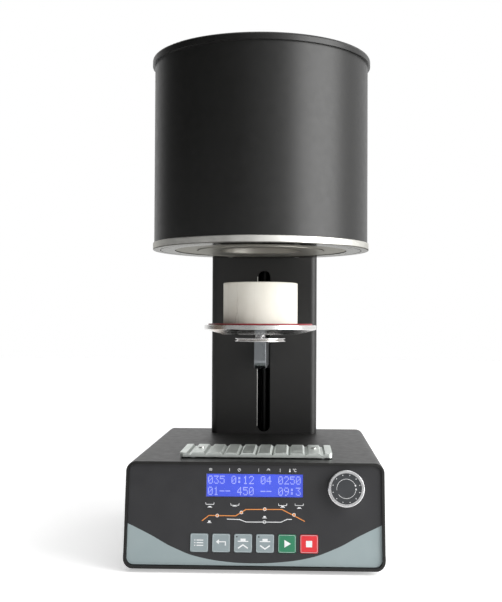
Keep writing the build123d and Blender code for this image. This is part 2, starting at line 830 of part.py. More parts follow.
lift_frame.part.label = "lift_frame"
export_step(lift_frame.part, "parts/lift_frame.step")

# Lift: cross plates between the channel's sides, for the motor and both ends of the screw and rods
motor_lift = 5.0
motor_pilot = 11.0
pilot_clear = 0.5
coupling_room = 30.0
top_spare = 7.0
plate_play = 0.5
bearing_radius = 8.0
motor_floor = pan_floor + motor_lift
motor_top = motor_floor + motor_height
low_plate = motor_top + coupling_room
high_plate = arm_middle + carriage_height / 2 + table_drop + top_spare
plate_depth = frame_back - frame_wall - frame_front - 2 * plate_play
plate_bores = ((motor_top, motor_pilot + pilot_clear), (low_plate, bearing_radius), (high_plate, bearing_radius))
with BuildPart() as bearing_plates:
    for height, bore in plate_bores:
        with BuildSketch(level(height, screw_y)):
            Rectangle(frame_width - 2 * frame_wall, plate_depth)
            Circle(bore, mode=Mode.SUBTRACT)
            if height != motor_top:
                with GridLocations(2 * rod_spread, 0, 2, 1):
                    Circle(rod_radius, mode=Mode.SUBTRACT)
        extrude(amount=bearing_thick)
bearing_plates.part.label = "bearing_plates"
export_step(bearing_plates.part, "parts/bearing_plates.step")

# Lift: two ground guide rods held in the plates
with BuildPart() as guide_rods:
    with BuildSketch(level(low_plate, screw_y)):
        with GridLocations(2 * rod_spread, 0, 2, 1):
            Circle(rod_radius)
    extrude(amount=high_plate + bearing_thick - low_plate)
guide_rods.part.label = "guide_rods"
export_step(guide_rods.part, "parts/guide_rods.step")

# Lift: screw bearings, pressed into the plates
with BuildPart() as screw_bearings:
    for height in (low_plate, high_plate):
        with BuildSketch(level(height, screw_y)):
            Circle(bearing_radius)
            Circle(screw_radius + running_fit, mode=Mode.SUBTRACT)
        extrude(amount=bearing_thick)
screw_bearings.part.label = "screw_bearings"
export_step(screw_bearings.part, "parts/screw_bearings.step")

# Lift: lead screw with a collar that rests on the lower bearing
collar_radius = 7.5
collar_thick = 4.0
collar_gap = 0.1
screw_tail = 6.0
screw_end = 4.0
with BuildPart() as lead_screw:
    with BuildSketch(level(low_plate - screw_tail, screw_y)):
        Circle(screw_radius)
    extrude(amount=high_plate + bearing_thick + screw_end - low_plate + screw_tail)
    with BuildSketch(level(low_plate + bearing_thick + collar_gap, screw_y)):
        Circle(collar_radius)
    extrude(amount=collar_thick)
lead_screw.part.label = "lead_screw"
export_step(lead_screw.part, "parts/lead_screw.step")

# Lift: split coupling between the motor's shaft and the screw
coupling_radius = 9.5
coupling_gap = 1.0
shaft_radius = 3.0
shaft_grip = 10.0
with BuildPart() as shaft_coupling:
    with BuildSketch(level(motor_top + bearing_thick + coupling_gap, screw_y)):
        Circle(coupling_radius)
    extrude(amount=low_plate - motor_top - bearing_thick - 2 * coupling_gap)
    with BuildSketch(level(low_plate - screw_tail, screw_y)):
        Circle(screw_radius)
    extrude(amount=screw_tail, mode=Mode.SUBTRACT)
    with BuildSketch(level(motor_top, screw_y)):
        Circle(shaft_radius)
    extrude(amount=bearing_thick + shaft_grip, mode=Mode.SUBTRACT)
shaft_coupling.part.label = "shaft_coupling"
export_step(shaft_coupling.part, "parts/shaft_coupling.step")

# Lift: motor hung under its plate, with its pilot and the bore for its shaft
motor_corner = 4.0
pilot_height = 2.0
shaft_depth = 20.0
shaft_end_gap = 1.0
with BuildPart() as lift_motor:
    with BuildSketch(level(motor_floor, screw_y)):
        RectangleRounded(motor_width, motor_width, motor_corner)
    extrude(amount=motor_height)
    with BuildSketch(level(motor_top, screw_y)):
        Circle(motor_pilot)
    extrude(amount=pilot_height)
    with BuildSketch(level(motor_top - shaft_depth, screw_y)):
        Circle(shaft_radius + running_fit)
    extrude(amount=shaft_depth + pilot_height, mode=Mode.SUBTRACT)
lift_motor.part.label = "lift_motor"
export_step(lift_motor.part, "parts/lift_motor.step")

# Lift: motor's shaft, gripped by the coupling
with BuildPart() as motor_shaft:
    with BuildSketch(level(motor_top - shaft_depth + shaft_end_gap, screw_y)):
        Circle(shaft_radius)
    extrude(amount=shaft_depth - shaft_end_gap + bearing_thick + shaft_grip)
motor_shaft.part.label = "motor_shaft"
export_step(motor_shaft.part, "parts/motor_shaft.step")

# Lift: limit switches on the channel's side, one at each end of the travel
trip_gap = 1.0
trip_width = 10.0
trip_thick = 6.0
trip_back = 14.0
trip_high = arm_middle + carriage_height / 2 + table_drop + trip_gap
trip_low = slot_bottom + slot_clear - (carriage_height - arm_height) / 2 - trip_gap - trip_thick
with BuildPart() as limit_switches:
    for height in (trip_high, trip_low):
        with BuildSketch(level(height, screw_y)):
            with Locations((frame_width / 2 - frame_wall - trip_width / 2, trip_back)):
                Rectangle(trip_width, trip_width)
        extrude(amount=trip_thick)
limit_switches.part.label = "limit_switches"
export_step(limit_switches.part, "parts/limit_switches.step")

# Lift: carriage block, bored for the bushes and the nut
bush_wall = 3.5
bush_outer = rod_radius + bush_wall
nut_outer = 11.0
carriage_corner = 4.0
carriage_low = arm_middle - carriage_height / 2
carriage_front = screw_y - carriage_offset
with BuildPart() as carriage:
    with BuildSketch(level(carriage_low, carriage_front + carriage_depth / 2)):
        RectangleRounded(carriage_width, carriage_depth, carriage_corner)
        with Locations((0, screw_y - carriage_front - carriage_depth / 2)):
            Circle(nut_outer, mode=Mode.SUBTRACT)
            with GridLocations(2 * rod_spread, 0, 2, 1):
                Circle(bush_outer, mode=Mode.SUBTRACT)
    extrude(amount=carriage_height)
carriage.part.label = "carriage"
export_step(carriage.part, "parts/carriage.step")

# Lift: bronze in the carriage, the nut on the screw and a long bush on each rod
with BuildPart() as carriage_bushes:
    with BuildSketch(level(carriage_low, screw_y)):
        Circle(nut_outer)
        Circle(screw_radius + running_fit, mode=Mode.SUBTRACT)
        with GridLocations(2 * rod_spread, 0, 2, 1):
            Circle(bush_outer)
            Circle(rod_radius + running_fit, mode=Mode.SUBTRACT)
    extrude(amount=carriage_height)
carriage_bushes.part.label = "carriage_bushes"
export_step(carriage_bushes.part, "parts/carriage_bushes.step")

# Lift: arm of flat bar through the slot, its lower front corner rounded
arm_corner = 10.0
arm_edge = 0.5
with BuildPart() as lift_arm:
    with BuildSketch(Plane(origin=(0, axis_y, arm_middle), x_dir=(0, 1, 0), z_dir=(1, 0, 0))) as arm_side:
        with Locations(((carriage_front - axis_y - arm_nose) / 2, 0)):
            Rectangle(carriage_front - axis_y + arm_nose, arm_height)
        fillet(arm_side.vertices().group_by(Axis.X)[0].sort_by(Axis.Y)[0], arm_corner)
    extrude(amount=arm_width / 2, both=True)
    chamfer(lift_arm.edges().filter_by(Axis.Y), arm_edge)
lift_arm.part.label = "lift_arm"
export_step(lift_arm.part, "parts/lift_arm.step")

# Lift: support disc with a V-groove round its rim and a shallow cone below, over the arm's end
groove_deep = 2.6
disc_lip = 0.7
disc_fall = 1.0
groove_middle = arm_top + disc_fall + (disc_thick - disc_fall) / 2
with BuildPart() as support_disc:
    with BuildSketch(side_cut):
        with BuildLine():
            Polyline(
                (0, arm_top),
                (disc_hub, arm_top),
                (disc_radius, arm_top + disc_fall),
                (disc_radius, arm_top + disc_fall + disc_lip),
                (disc_radius - groove_deep, groove_middle),
                (disc_radius, disc_top - disc_lip),
                (disc_radius, disc_top),
                (0, disc_top),
                close=True,
            )
        make_face()
    revolve(axis=Axis((0, axis_y, 0), (0, 0, 1)))
support_disc.part.label = "support_disc"
export_step(support_disc.part, "parts/support_disc.step")

# Lift: pivot pin screwed into the disc, its point in the plate's socket
float_travel = 1.5
socket_up = 3.0
pin_radius = 2.5
pin_point = 0.6
pin_clear = 0.3
pin_top = plate_bottom + socket_up - float_travel - pin_clear
with BuildPart() as pivot_pin:
    with BuildSketch(side_cut):
        with BuildLine():
            Polyline(
                (0, disc_top),
                (pin_radius, disc_top),
                (pin_radius, pin_top - pin_radius + pin_point),
                (pin_point, pin_top),
                (0, pin_top),
                close=True,
            )
        make_face()
    revolve(axis=Axis((0, axis_y, 0), (0, 0, 1)))
pivot_pin.part.label = "pivot_pin"
export_step(pivot_pin.part, "parts/pivot_pin.step")

# Lift: spring round the pivot, which carries the plate and lets it give a little
with BuildPart() as pivot_spring:
    with BuildSketch(level(disc_top, axis_y)):
        Circle(spring_radius)
        Circle(spring_radius - spring_wire, mode=Mode.SUBTRACT)
    extrude(amount=pivot_gap)
pivot_spring.part.label = "pivot_spring"
export_step(pivot_spring.part, "parts/pivot_spring.step")

# Lift: turned plate with a groove for the seal and a shallow conical underside
plate_edge = 0.5
with BuildPart() as lift_plate:
    with BuildSketch(side_cut):
        with BuildLine():
            Polyline(
                (pin_radius + pin_clear, plate_bottom),
                (plate_foot, plate_bottom),
                (plate_radius - plate_edge, rim_bottom),
                (plate_radius, rim_bottom + plate_edge),
                (plate_radius, plate_top - plate_edge),
                (plate_radius - plate_edge, plate_top),
                (seal_radius + seal_fit, plate_top),
                (seal_radius + seal_fit, plate_top - seal_depth),
                (seal_radius - seal_width - seal_fit, plate_top - seal_depth),
                (seal_radius - seal_width - seal_fit, plate_top),
                (0, plate_top),
                (0, plate_bottom + socket_up),
                (pin_radius + pin_clear, plate_bottom + socket_up),
                close=True,
            )
        make_face()
    revolve(axis=Axis((0, axis_y, 0), (0, 0, 1)))
lift_plate.part.label = "lift_plate"
export_step(lift_plate.part, "parts/lift_plate.step")

# Lift: red sealing ring in the plate's groove
with BuildPart() as table_seal:
    with BuildSketch(side_cut):
        with Locations((seal_radius - seal_width / 2, plate_top + (seal_proud - seal_depth) / 2)):
            RectangleRounded(seal_width, seal_depth + seal_proud, seal_round)
    revolve(axis=Axis((0, axis_y, 0), (0, 0, 1)))
table_seal.part.label = "table_seal"
export_step(table_seal.part, "parts/table_seal.step")

# Lift: pressed-fibre firing plinth standing on the plate
with BuildPart() as firing_plinth:
    with BuildSketch(level(plate_top, axis_y)):
        Circle(plinth_radius)
    extrude(amount=plinth_height)
    fillet(firing_plinth.edges().group_by(Axis.Z)[-1], plinth_round)
firing_plinth.part.label = "firing_plinth"
export_step(firing_plinth.part, "parts/firing_plinth.step")

# Head: polished ring that carries the jacket, with a turned line in its underside
turned_line = 117.0
line_width = 1.0
line_depth = 0.8
ring_clear = 0.2
with BuildPart() as head_ring:
    with BuildSketch(level(ring_bottom, axis_y)):
        Circle(ring_radius)
        Circle(ring_bore + ring_clear, mode=Mode.SUBTRACT)
    extrude(amount=ring_thick)
    fillet(head_ring.edges().sort_by(SortBy.LENGTH)[-2:], ring_round)
    with BuildSketch(level(ring_bottom, axis_y)):
        Circle(turned_line + line_width / 2)
        Circle(turned_line - line_width / 2, mode=Mode.SUBTRACT)
    extrude(amount=line_depth, mode=Mode.SUBTRACT)
head_ring.part.label = "head_ring"
export_step(head_ring.part, "parts/head_ring.step")

# Head: chamber flange inside the ring, its seal face proud of the rest, with the round mouth
land_radius = 73.0
land_step = 0.8
land_groove = 1.5
groove_sink = 1.0
mouth_edge = 1.0
flange_height = 10.0
flange_lip = 12.0
flange_top = ring_bottom + flange_height
with BuildPart() as chamber_flange:
    with BuildSketch(side_cut):
        with BuildLine():
            Polyline(
                (mouth_radius, ring_bottom + mouth_edge),
                (mouth_radius + mouth_edge, ring_bottom),
                (land_radius, ring_bottom),
                (land_radius, ring_bottom + land_step + groove_sink),
                (land_radius + land_groove, ring_bottom + land_step + groove_sink),
                (land_radius + land_groove, ring_bottom + land_step),
                (ring_bore, ring_bottom + land_step),
                (ring_bore, ring_top),
                (ring_bore + flange_lip, ring_top),
                (ring_bore + flange_lip, flange_top),
                (mouth_radius, flange_top),
                close=True,
            )
        make_face()
    revolve(axis=Axis((0, axis_y, 0), (0, 0, 1)))
chamber_flange.part.label = "chamber_flange"
export_step(chamber_flange.part, "parts/chamber_flange.step")

# Head: muffle tube that lines the chamber
with BuildPart() as muffle_tube:
    with BuildSketch(level(flange_top, axis_y)):
        Circle(mouth_radius + muffle_wall)
        Circle(mouth_radius, mode=Mode.SUBTRACT)
    extrude(amount=roof_bottom - flange_top)
muffle_tube.part.label = "muffle_tube"
export_step(muffle_tube.part, "parts/muffle_tube.step")

# Head: heating coil, its turns stacked round the muffle tube
coil_radius = mouth_radius + muffle_wall + coil_gap
coil_lift = 8.0
coil_spare = 4.0
bar_width = 1.8
coil_pitch = (roof_bottom - flange_top - coil_lift - coil_spare) / coil_turns
with BuildPart() as heating_coil:
    for turn in range(coil_turns):
        with BuildSketch(level(flange_top + coil_lift + turn * coil_pitch, axis_y)):
            Circle(coil_radius + coil_wire)
            Circle(coil_radius, mode=Mode.SUBTRACT)
        extrude(amount=coil_wire)
    with BuildSketch(level(flange_top + coil_lift, axis_y)):
        with Locations((0, coil_radius + coil_wire / 2)):
            Rectangle(coil_wire, bar_width)
    extrude(amount=(coil_turns - 1) * coil_pitch + coil_wire)
heating_coil.part.label = "heating_coil"
export_step(heating_coil.part, "parts/heating_coil.step")

# Head: fibre insulation, a pot upside down over muffle and coil
fibre_gap = 1.0
insulation_radius = vessel_radius - vessel_wall - fibre_gap
insulation_top = roof_bottom + roof_thick
vessel_round = 12.0
probe_radius = 2.5
probe_fit = 0.3
with BuildPart() as chamber_insulation:
    with BuildSketch(level(flange_top, axis_y)):
        Circle(insulation_radius)
    extrude(amount=insulation_top - flange_top)
    fillet(chamber_insulation.edges().group_by(Axis.Z)[-1], vessel_round)
    with BuildSketch(level(flange_top, axis_y)):
        Circle(coil_radius + coil_wire + coil_gap)
    extrude(amount=roof_bottom - flange_top, mode=Mode.SUBTRACT)
    with BuildSketch(level(roof_bottom, axis_y)):
        Circle(probe_radius + probe_fit)
    extrude(amount=roof_thick, mode=Mode.SUBTRACT)
chamber_insulation.part.label = "chamber_insulation"
export_step(chamber_insulation.part, "parts/chamber_insulation.step")

# Head: vacuum vessel, a drawn steel pot sealed on the flange, with its port at the back
vessel_top = insulation_top + fibre_gap
port_radius = 5.0
port_reach = 7.0
port_x = 14.0
with BuildPart() as vacuum_vessel:
    with BuildSketch(level(flange_top, axis_y)):
        Circle(vessel_radius)
    extrude(amount=vessel_top + vessel_wall - flange_top)
    fillet(vacuum_vessel.edges().group_by(Axis.Z)[-1], vessel_round)
    with BuildSketch(Plane(origin=(port_x, axis_y, port_z), x_dir=(1, 0, 0), z_dir=(0, 1, 0))):
        Circle(port_radius)
    extrude(amount=vessel_radius + port_reach)
    with BuildPart(mode=Mode.SUBTRACT):
        with BuildSketch(level(flange_top, axis_y)):
            Circle(vessel_radius - vessel_wall)
        extrude(amount=vessel_top - flange_top)
        fillet(edges().group_by(Axis.Z)[-1], vessel_round - vessel_wall)
    with BuildSketch(level(vessel_top, axis_y)):
        Circle(probe_radius + probe_fit)
    extrude(amount=vessel_wall, mode=Mode.SUBTRACT)
vacuum_vessel.part.label = "vacuum_vessel"
export_step(vacuum_vessel.part, "parts/vacuum_vessel.step")

# Head: thermocouple through the roof, its head on the vessel
probe_drop = 22.0
probe_head_radius = 12.0
probe_head_height = 14.0
probe_head_z = vessel_top + vessel_wall
with BuildPart() as thermocouple:
    with BuildSketch(level(roof_bottom - probe_drop, axis_y)):
        Circle(probe_radius)
    extrude(amount=probe_head_z - roof_bottom + probe_drop)
    with BuildSketch(level(probe_head_z, axis_y)):
        Circle(probe_head_radius)
    extrude(amount=probe_head_height)
thermocouple.part.label = "thermocouple"
export_step(thermocouple.part, "parts/thermocouple.step")

# Head: jacket of rolled sheet on the ring, open at the back for the services
with BuildPart() as jacket:
    with BuildSketch(level(ring_top, axis_y)):
        Circle(jacket_radius)
        Circle(jacket_radius - jacket_wall, mode=Mode.SUBTRACT)
    extrude(amount=jacket_height)
    with BuildSketch(Plane(origin=(0, axis_y, port_z), x_dir=(1, 0, 0), z_dir=(0, 1, 0))):
        Rectangle(service_width, service_height)
    extrude(amount=jacket_radius, mode=Mode.SUBTRACT)
jacket.part.label = "jacket"
export_step(jacket.part, "parts/jacket.step")

# Head: lid spun from sheet, its rim over the jacket and its spigot inside it
spigot_depth = 10.0
lid_wall = 2.0
with BuildPart() as lid:
    with BuildSketch(level(jacket_top, axis_y)):
        Circle(lid_radius)
    extrude(amount=lid_height)
    fillet(lid.edges().group_by(Axis.Z)[-1], lid_round)
    with BuildSketch(level(jacket_top, axis_y)):
        Circle(jacket_radius - jacket_wall - panel_clear)
    extrude(amount=-spigot_depth)
    with BuildSketch(level(jacket_top - spigot_depth, axis_y)):
        Circle(jacket_radius - jacket_wall - panel_clear - lid_wall)
    extrude(amount=spigot_depth + lid_height - lid_wall, mode=Mode.SUBTRACT)
lid.part.label = "lid"
export_step(lid.part, "parts/lid.step")

# Head: cast saddle between the jacket's back and the column, with the way through for the services
saddle_inset = 18.5
saddle_width = column_width - 2 * saddle_inset
saddle_depth = 40.0
with BuildPart() as head_bracket:
    with BuildSketch(level(web_low, column_front)):
        with Locations((0, -saddle_depth / 2)):
            Rectangle(saddle_width, saddle_depth)
        with Locations((0, axis_y - column_front)):
            Circle(jacket_radius + panel_clear, mode=Mode.SUBTRACT)
    extrude(amount=web_high - web_low)
    with BuildSketch(Plane(origin=(0, axis_y, port_z), x_dir=(1, 0, 0), z_dir=(0, 1, 0))):
        Rectangle(service_width, service_height)
    extrude(amount=column_front - axis_y, mode=Mode.SUBTRACT)
head_bracket.part.label = "head_bracket"
export_step(head_bracket.part, "parts/head_bracket.step")

# Services: vacuum line from the valve up the column to the vessel's port
duct_x = (frame_width + column_width - 2 * column_wall) / 4
line_z = pan_floor + 3 * line_radius
line_start = valve_x - valve_width / 2
line_bend = 4.5
with BuildPart() as vacuum_line:
    with BuildLine():
        FilletPolyline(
            (line_start, screw_y, line_z),
            (duct_x, screw_y, line_z),
            (duct_x, screw_y, port_z),
            (port_x, screw_y, port_z),
            (port_x, axis_y + vessel_radius + port_reach, port_z),
            radius=line_bend,
        )
    with BuildSketch(Plane(origin=(line_start, screw_y, line_z), z_dir=(-1, 0, 0))):
        Circle(line_radius)
    sweep()
vacuum_line.part.label = "vacuum_line"
export_step(vacuum_line.part, "parts/vacuum_line.step")

# Tray: cooling tray of ribbed metal on low spacers, on the base's top in front of the lift
tray_bottom = base_top + tray_gap
tray_corner = 4.0
spacer_radius = 4.0
spacer_inset = 12.0
with BuildPart() as cooling_tray:
    with BuildSketch(level(tray_bottom, tray_middle)):
        RectangleRounded(tray_width, tray_depth, tray_corner)
    extrude(amount=tray_height)
    tray_end = Plane(origin=(0, tray_front, tray_bottom + tray_height), x_dir=(1, 0, 0), z_dir=(0, -1, 0))
    with BuildSketch(tray_end):
        with GridLocations(tray_pitch, 0, tray_grooves, 1):
            Polygon(
                (-groove_top / 2, 0),
                (-groove_floor / 2, -groove_depth),
                (groove_floor / 2, -groove_depth),
                (groove_top / 2, 0),
                align=None,
            )
    extrude(amount=-tray_depth, mode=Mode.SUBTRACT)
    with BuildSketch(level(tray_bottom, tray_middle)):
        with GridLocations(tray_width - 2 * spacer_inset, tray_depth - 2 * spacer_inset, 2, 2):
            Circle(spacer_radius)
    extrude(amount=-tray_gap)
    with BuildSketch(level(tray_bottom + tray_height, tray_screw_y)):
        with GridLocations(2 * tray_screw_spread, 0, 2, 1):
            Circle(cover_screw_radius)
    extrude(amount=-tray_height - tray_gap, mode=Mode.SUBTRACT)
cooling_tray.part.label = "cooling_tray"
export_step(cooling_tray.part, "parts/cooling_tray.step")

# Screws: those of the tray and of the cover's sides, all alike
shank_radius = 1.5
shank_length = 7.0
with BuildPart() as housing_screws:
    for side in (-1, 1):
        with BuildSketch(level(tray_bottom + tray_height, tray_screw_y)):
            with Locations((side * tray_screw_spread, 0)):
                Circle(head_radius)
        extrude(amount=head_thick)
        with BuildSketch(level(tray_bottom + tray_height, tray_screw_y)):
            with Locations((side * tray_screw_spread, 0)):
                Circle(shank_radius)
        extrude(amount=-shank_length - tray_gap)
        head_seat = side * (base_width / 2 - head_thick - screw_clear)
        with BuildSketch(Plane(origin=(head_seat, 0, cover_screw_z), z_dir=(side, 0, 0))):
            with GridLocations(0, 2 * tab_spread, 1, 2):
                Circle(head_radius)
        extrude(amount=head_thick)
        with BuildSketch(Plane(origin=(head_seat, 0, cover_screw_z), z_dir=(side, 0, 0))):
            with GridLocations(0, 2 * tab_spread, 1, 2):
                Circle(shank_radius)
        extrude(amount=head_thick + screw_clear - base_wall)
housing_screws.part.label = "housing_screws"
export_step(housing_screws.part, "parts/housing_screws.step")
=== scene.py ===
import bmesh
import bpy
import math
from mathutils import Matrix, Vector


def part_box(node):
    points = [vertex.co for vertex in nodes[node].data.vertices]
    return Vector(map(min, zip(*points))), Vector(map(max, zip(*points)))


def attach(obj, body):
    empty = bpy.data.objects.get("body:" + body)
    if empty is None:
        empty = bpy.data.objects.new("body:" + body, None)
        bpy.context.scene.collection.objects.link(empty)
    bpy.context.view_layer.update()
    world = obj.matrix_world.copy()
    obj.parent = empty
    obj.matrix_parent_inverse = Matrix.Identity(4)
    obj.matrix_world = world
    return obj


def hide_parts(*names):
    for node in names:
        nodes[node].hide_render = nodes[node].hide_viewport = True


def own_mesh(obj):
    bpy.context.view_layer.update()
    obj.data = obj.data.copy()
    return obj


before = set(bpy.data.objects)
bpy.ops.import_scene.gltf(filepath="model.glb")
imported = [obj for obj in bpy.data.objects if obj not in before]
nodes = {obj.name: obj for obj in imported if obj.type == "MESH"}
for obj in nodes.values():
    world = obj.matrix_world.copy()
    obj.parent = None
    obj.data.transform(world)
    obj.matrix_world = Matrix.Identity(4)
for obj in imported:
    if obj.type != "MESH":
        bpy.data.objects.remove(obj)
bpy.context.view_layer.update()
MM = 0.001


# Camera: stands a little right of the middle, over a metre off, and looks slightly up under the firing head.
# The lens and the shift give the photograph's frame of 502 by 602 pixels.
def placed(name, data):
    """A new object in the scene."""
    made = bpy.data.objects.new(name, data)
    bpy.context.scene.collection.objects.link(made)
    return made


photo_width, photo_height = 502, 602
focal_px, middle_x_px, middle_y_px = 982.13, 258.8, 304.48
sensor = 36.0
camera_place = (0.04216, -1.17467, 0.25103)
camera_yaw, camera_pitch, camera_roll = math.radians(2.2), math.radians(1.18), math.radians(0.26)
lens_data = bpy.data.cameras.new("front_camera")
lens_data.sensor_width = sensor
lens_data.lens = focal_px * sensor / photo_height
lens_data.shift_x = (photo_width / 2 - middle_x_px) / photo_height
lens_data.shift_y = (middle_y_px - photo_height / 2) / photo_height
camera = placed("front_camera", lens_data)
camera.matrix_world = (
    Matrix.Translation(camera_place)
    @ Matrix.Rotation(camera_yaw, 4, "Z")
    @ Matrix.Rotation(math.pi / 2 + camera_pitch, 4, "X")
    @ Matrix.Rotation(camera_roll, 4, "Z")
)
bpy.context.scene.camera = camera
bpy.context.scene.view_settings.view_transform = "Standard"


# Studio: white floor and backdrop, one large soft panel on the right, and a soft light from above.
# The backdrop is white behind the furnace, dim on its left and bright from the front to the right.
def soft_panel(name, place, aim, width, height, strength, tint=(1.0, 1.0, 1.0)):
    """An area light at a place, turned to its aim."""
    light = bpy.data.lights.new(name, "AREA")
    light.shape = "RECTANGLE"
    light.size = width
    light.size_y = height
    light.energy = strength
    light.color = tint
    lamp = placed(name, light)
    lamp.location = place
    lamp.rotation_euler = (Vector(aim) - Vector(place)).to_track_quat("-Z", "Y").to_euler()


def feed(tree, socket, value):
    """Links a socket to another one, or gives it a plain value."""
    if isinstance(value, bpy.types.NodeSocket):
        tree.links.new(value, socket)
    else:
        socket.default_value = value


def calc(tree, operation, *values):
    """The result of a Math node on numbers or sockets."""
    step = tree.nodes.new("ShaderNodeMath")
    step.operation = operation
    for socket, value in zip(step.inputs, values):
        feed(tree, socket, value)
    return step.outputs["Value"]


def axes_of(tree, place):
    """The sockets X, Y and Z of a place."""
    parts = tree.nodes.new("ShaderNodeSeparateXYZ")
    tree.links.new(place, parts.inputs["Vector"])
    return parts.outputs


def spread(tree, factor, low, high, start=0.3, end=0.7):
    """A factor mapped to a range of numbers."""
    step = tree.nodes.new("ShaderNodeMapRange")
    step.inputs["From Min"].default_value = start
    step.inputs["From Max"].default_value = end
    step.inputs["To Min"].default_value = low
    step.inputs["To Max"].default_value = high
    tree.links.new(factor, step.inputs["Value"])
    return step.outputs["Result"]


panel_aim = (0.0, 0.0, 0.3)
soft_panel("right_panel", (1.62, -0.85, 0.75), panel_aim, width=1.6, height=1.8, strength=47.0,
           tint=(1.0, 0.998, 0.99))
soft_panel("top_panel", (0.1, -0.3, 1.9), panel_aim, width=1.4, height=1.2, strength=5.0)

world = bpy.data.worlds.new("studio")
bpy.context.scene.world = world
world.use_nodes = True
sky = world.node_tree
sky.nodes.clear()
sky_out = sky.nodes.new("ShaderNodeOutputWorld")
sky_light = sky.nodes.new("ShaderNodeBackground")
sky_axes = axes_of(sky, sky.nodes.new("ShaderNodeTexCoord").outputs["Generated"])
sky_angle = calc(sky, "ARCTAN2", sky_axes["X"], calc(sky, "MULTIPLY", sky_axes["Y"], -1.0))
# Each step is a share of the turn round the furnace, from behind it over its left, and the light there.
sky_steps = (
    (0.0, 1.0), (0.10, 1.0), (0.16, 0.12), (0.25, 0.03), (0.45, 0.07), (0.50, 0.42), (0.58, 0.80),
    (0.72, 0.75), (0.84, 1.0),
)
sky_ramp = sky.nodes.new("ShaderNodeValToRGB")
while len(sky_ramp.color_ramp.elements) < len(sky_steps):
    sky_ramp.color_ramp.elements.new(0.5)
for step, (turn, level) in zip(sky_ramp.color_ramp.elements, sky_steps):
    step.position = turn
    step.color = (level, level, level, 1.0)
feed(sky, sky_ramp.inputs["Fac"], spread(sky, sky_angle, 0.0, 1.0, -math.pi, math.pi))
feed(sky, sky_light.inputs["Color"], sky_ramp.outputs["Color"])
feed(sky, sky_out.inputs["Surface"], sky_light.outputs["Background"])

floor_reach, floor_tone, floor_rough, floor_glow = 6.0, 0.95, 0.7, 0.42
floor_mesh = bpy.data.meshes.new("floor")
floor_corners = [(-floor_reach, -floor_reach, 0), (floor_reach, -floor_reach, 0)]
floor_corners += [(floor_reach, floor_reach, 0), (-floor_reach, floor_reach, 0)]
floor_mesh.from_pydata(floor_corners, [], [(0, 1, 2, 3)])
floor = placed("floor", floor_mesh)
floor_paint = bpy.data.materials.new("floor_white")
floor_paint.use_nodes = True
floor_shader = floor_paint.node_tree.nodes["Principled BSDF"]
floor_shader.inputs["Base Color"].default_value = (floor_tone, floor_tone, floor_tone, 1.0)
floor_shader.inputs["Roughness"].default_value = floor_rough
floor_shader.inputs["Emission Color"].default_value = (1.0, 1.0, 1.0, 1.0)
floor_shader.inputs["Emission Strength"].default_value = floor_glow
floor_mesh.materials.append(floor_paint)


# Housing: steel sheet with a fine satin black powder coat, baked on after folding and cutting.
# Base pan and cover, rear panel, the column's back and cap, and the bracket behind the head all have it.
def finish_of(name, colour, roughness, metallic=0.0):
    """A material with object coordinates ready, as (material, tree, shader, coordinates)."""
    made = bpy.data.materials.new(name)
    made.use_nodes = True
    tree = made.node_tree
    shader = tree.nodes["Principled BSDF"]
    shader.inputs["Base Color"].default_value = (*colour, 1.0)
    shader.inputs["Roughness"].default_value = roughness
    shader.inputs["Metallic"].default_value = metallic
    coordinates = tree.nodes.new("ShaderNodeTexCoord").outputs["Object"]
    return made, tree, shader, coordinates


def mottle(tree, coordinates, grain, detail=3.0):
    """Noise of a grain size in metres, as a factor socket."""
    noise = tree.nodes.new("ShaderNodeTexNoise")
    noise.inputs["Scale"].default_value = 1.0 / grain
    noise.inputs["Detail"].default_value = detail
    tree.links.new(coordinates, noise.inputs["Vector"])
    return noise.outputs["Fac"]


def blend_colours(tree, factor, first, second):
    """Two colours or colour sockets mixed by a factor socket."""
    mix = tree.nodes.new("ShaderNodeMix")
    mix.data_type = "RGBA"
    for socket, colour in ((mix.inputs["A"], first), (mix.inputs["B"], second)):
        feed(tree, socket, (*colour, 1.0) if isinstance(colour, tuple) else colour)
    tree.links.new(factor, mix.inputs["Factor"])
    return mix.outputs["Result"]


def relief(tree, shader, height, depth, strength):
    """Bump of a depth in metres from a height factor."""
    bump = tree.nodes.new("ShaderNodeBump")
    bump.inputs["Distance"].default_value = depth
    bump.inputs["Strength"].default_value = strength
    tree.links.new(height, bump.inputs["Height"])
    tree.links.new(bump.outputs["Normal"], shader.inputs["Normal"])


def powder_coat(name, dark, light, low_rough, high_rough):
    """Satin powder coat: slightly uneven tone and gloss, fine orange peel."""
    tone_grain, gloss_grain, peel_grain, peel_depth = 30 * MM, 8 * MM, 0.5 * MM, 0.03 * MM
    made, tree, shader, coordinates = finish_of(name, dark, low_rough)
    tone = mottle(tree, coordinates, tone_grain)
    feed(tree, shader.inputs["Base Color"], blend_colours(tree, tone, dark, light))
    gloss = mottle(tree, coordinates, gloss_grain, 4.0)
    feed(tree, shader.inputs["Roughness"], spread(tree, gloss, low_rough, high_rough))
    relief(tree, shader, mottle(tree, coordinates, peel_grain, 2.0), peel_depth, 0.5)
    return made


def dress(material, *names):
    """Gives CAD nodes their finish."""
    for name in names:
        slots = nodes[name].data.materials
        slots.clear()
        slots.append(material)


housing_coat = powder_coat("housing_coat", (0.004, 0.0038, 0.0035), (0.006, 0.0057, 0.0052), 0.42, 0.49)
dress(housing_coat, "base_pan", "base_cover", "rear_panel", "column_back", "column_cap", "head_bracket")


# Column: folded from one sheet and coated as the housing, with a long slot for the lift's arm.
# A thin pale metal line beside the slot's left edge is a painted highlight, standing for the light that the
# edge's bevel catches.
def recolour(tree, shader, factor, colour):
    """Blends a colour over the finish's own one where the factor is high."""
    own = shader.inputs["Base Color"].links[0].from_socket
    feed(tree, shader.inputs["Base Color"], blend_colours(tree, factor, own, colour))


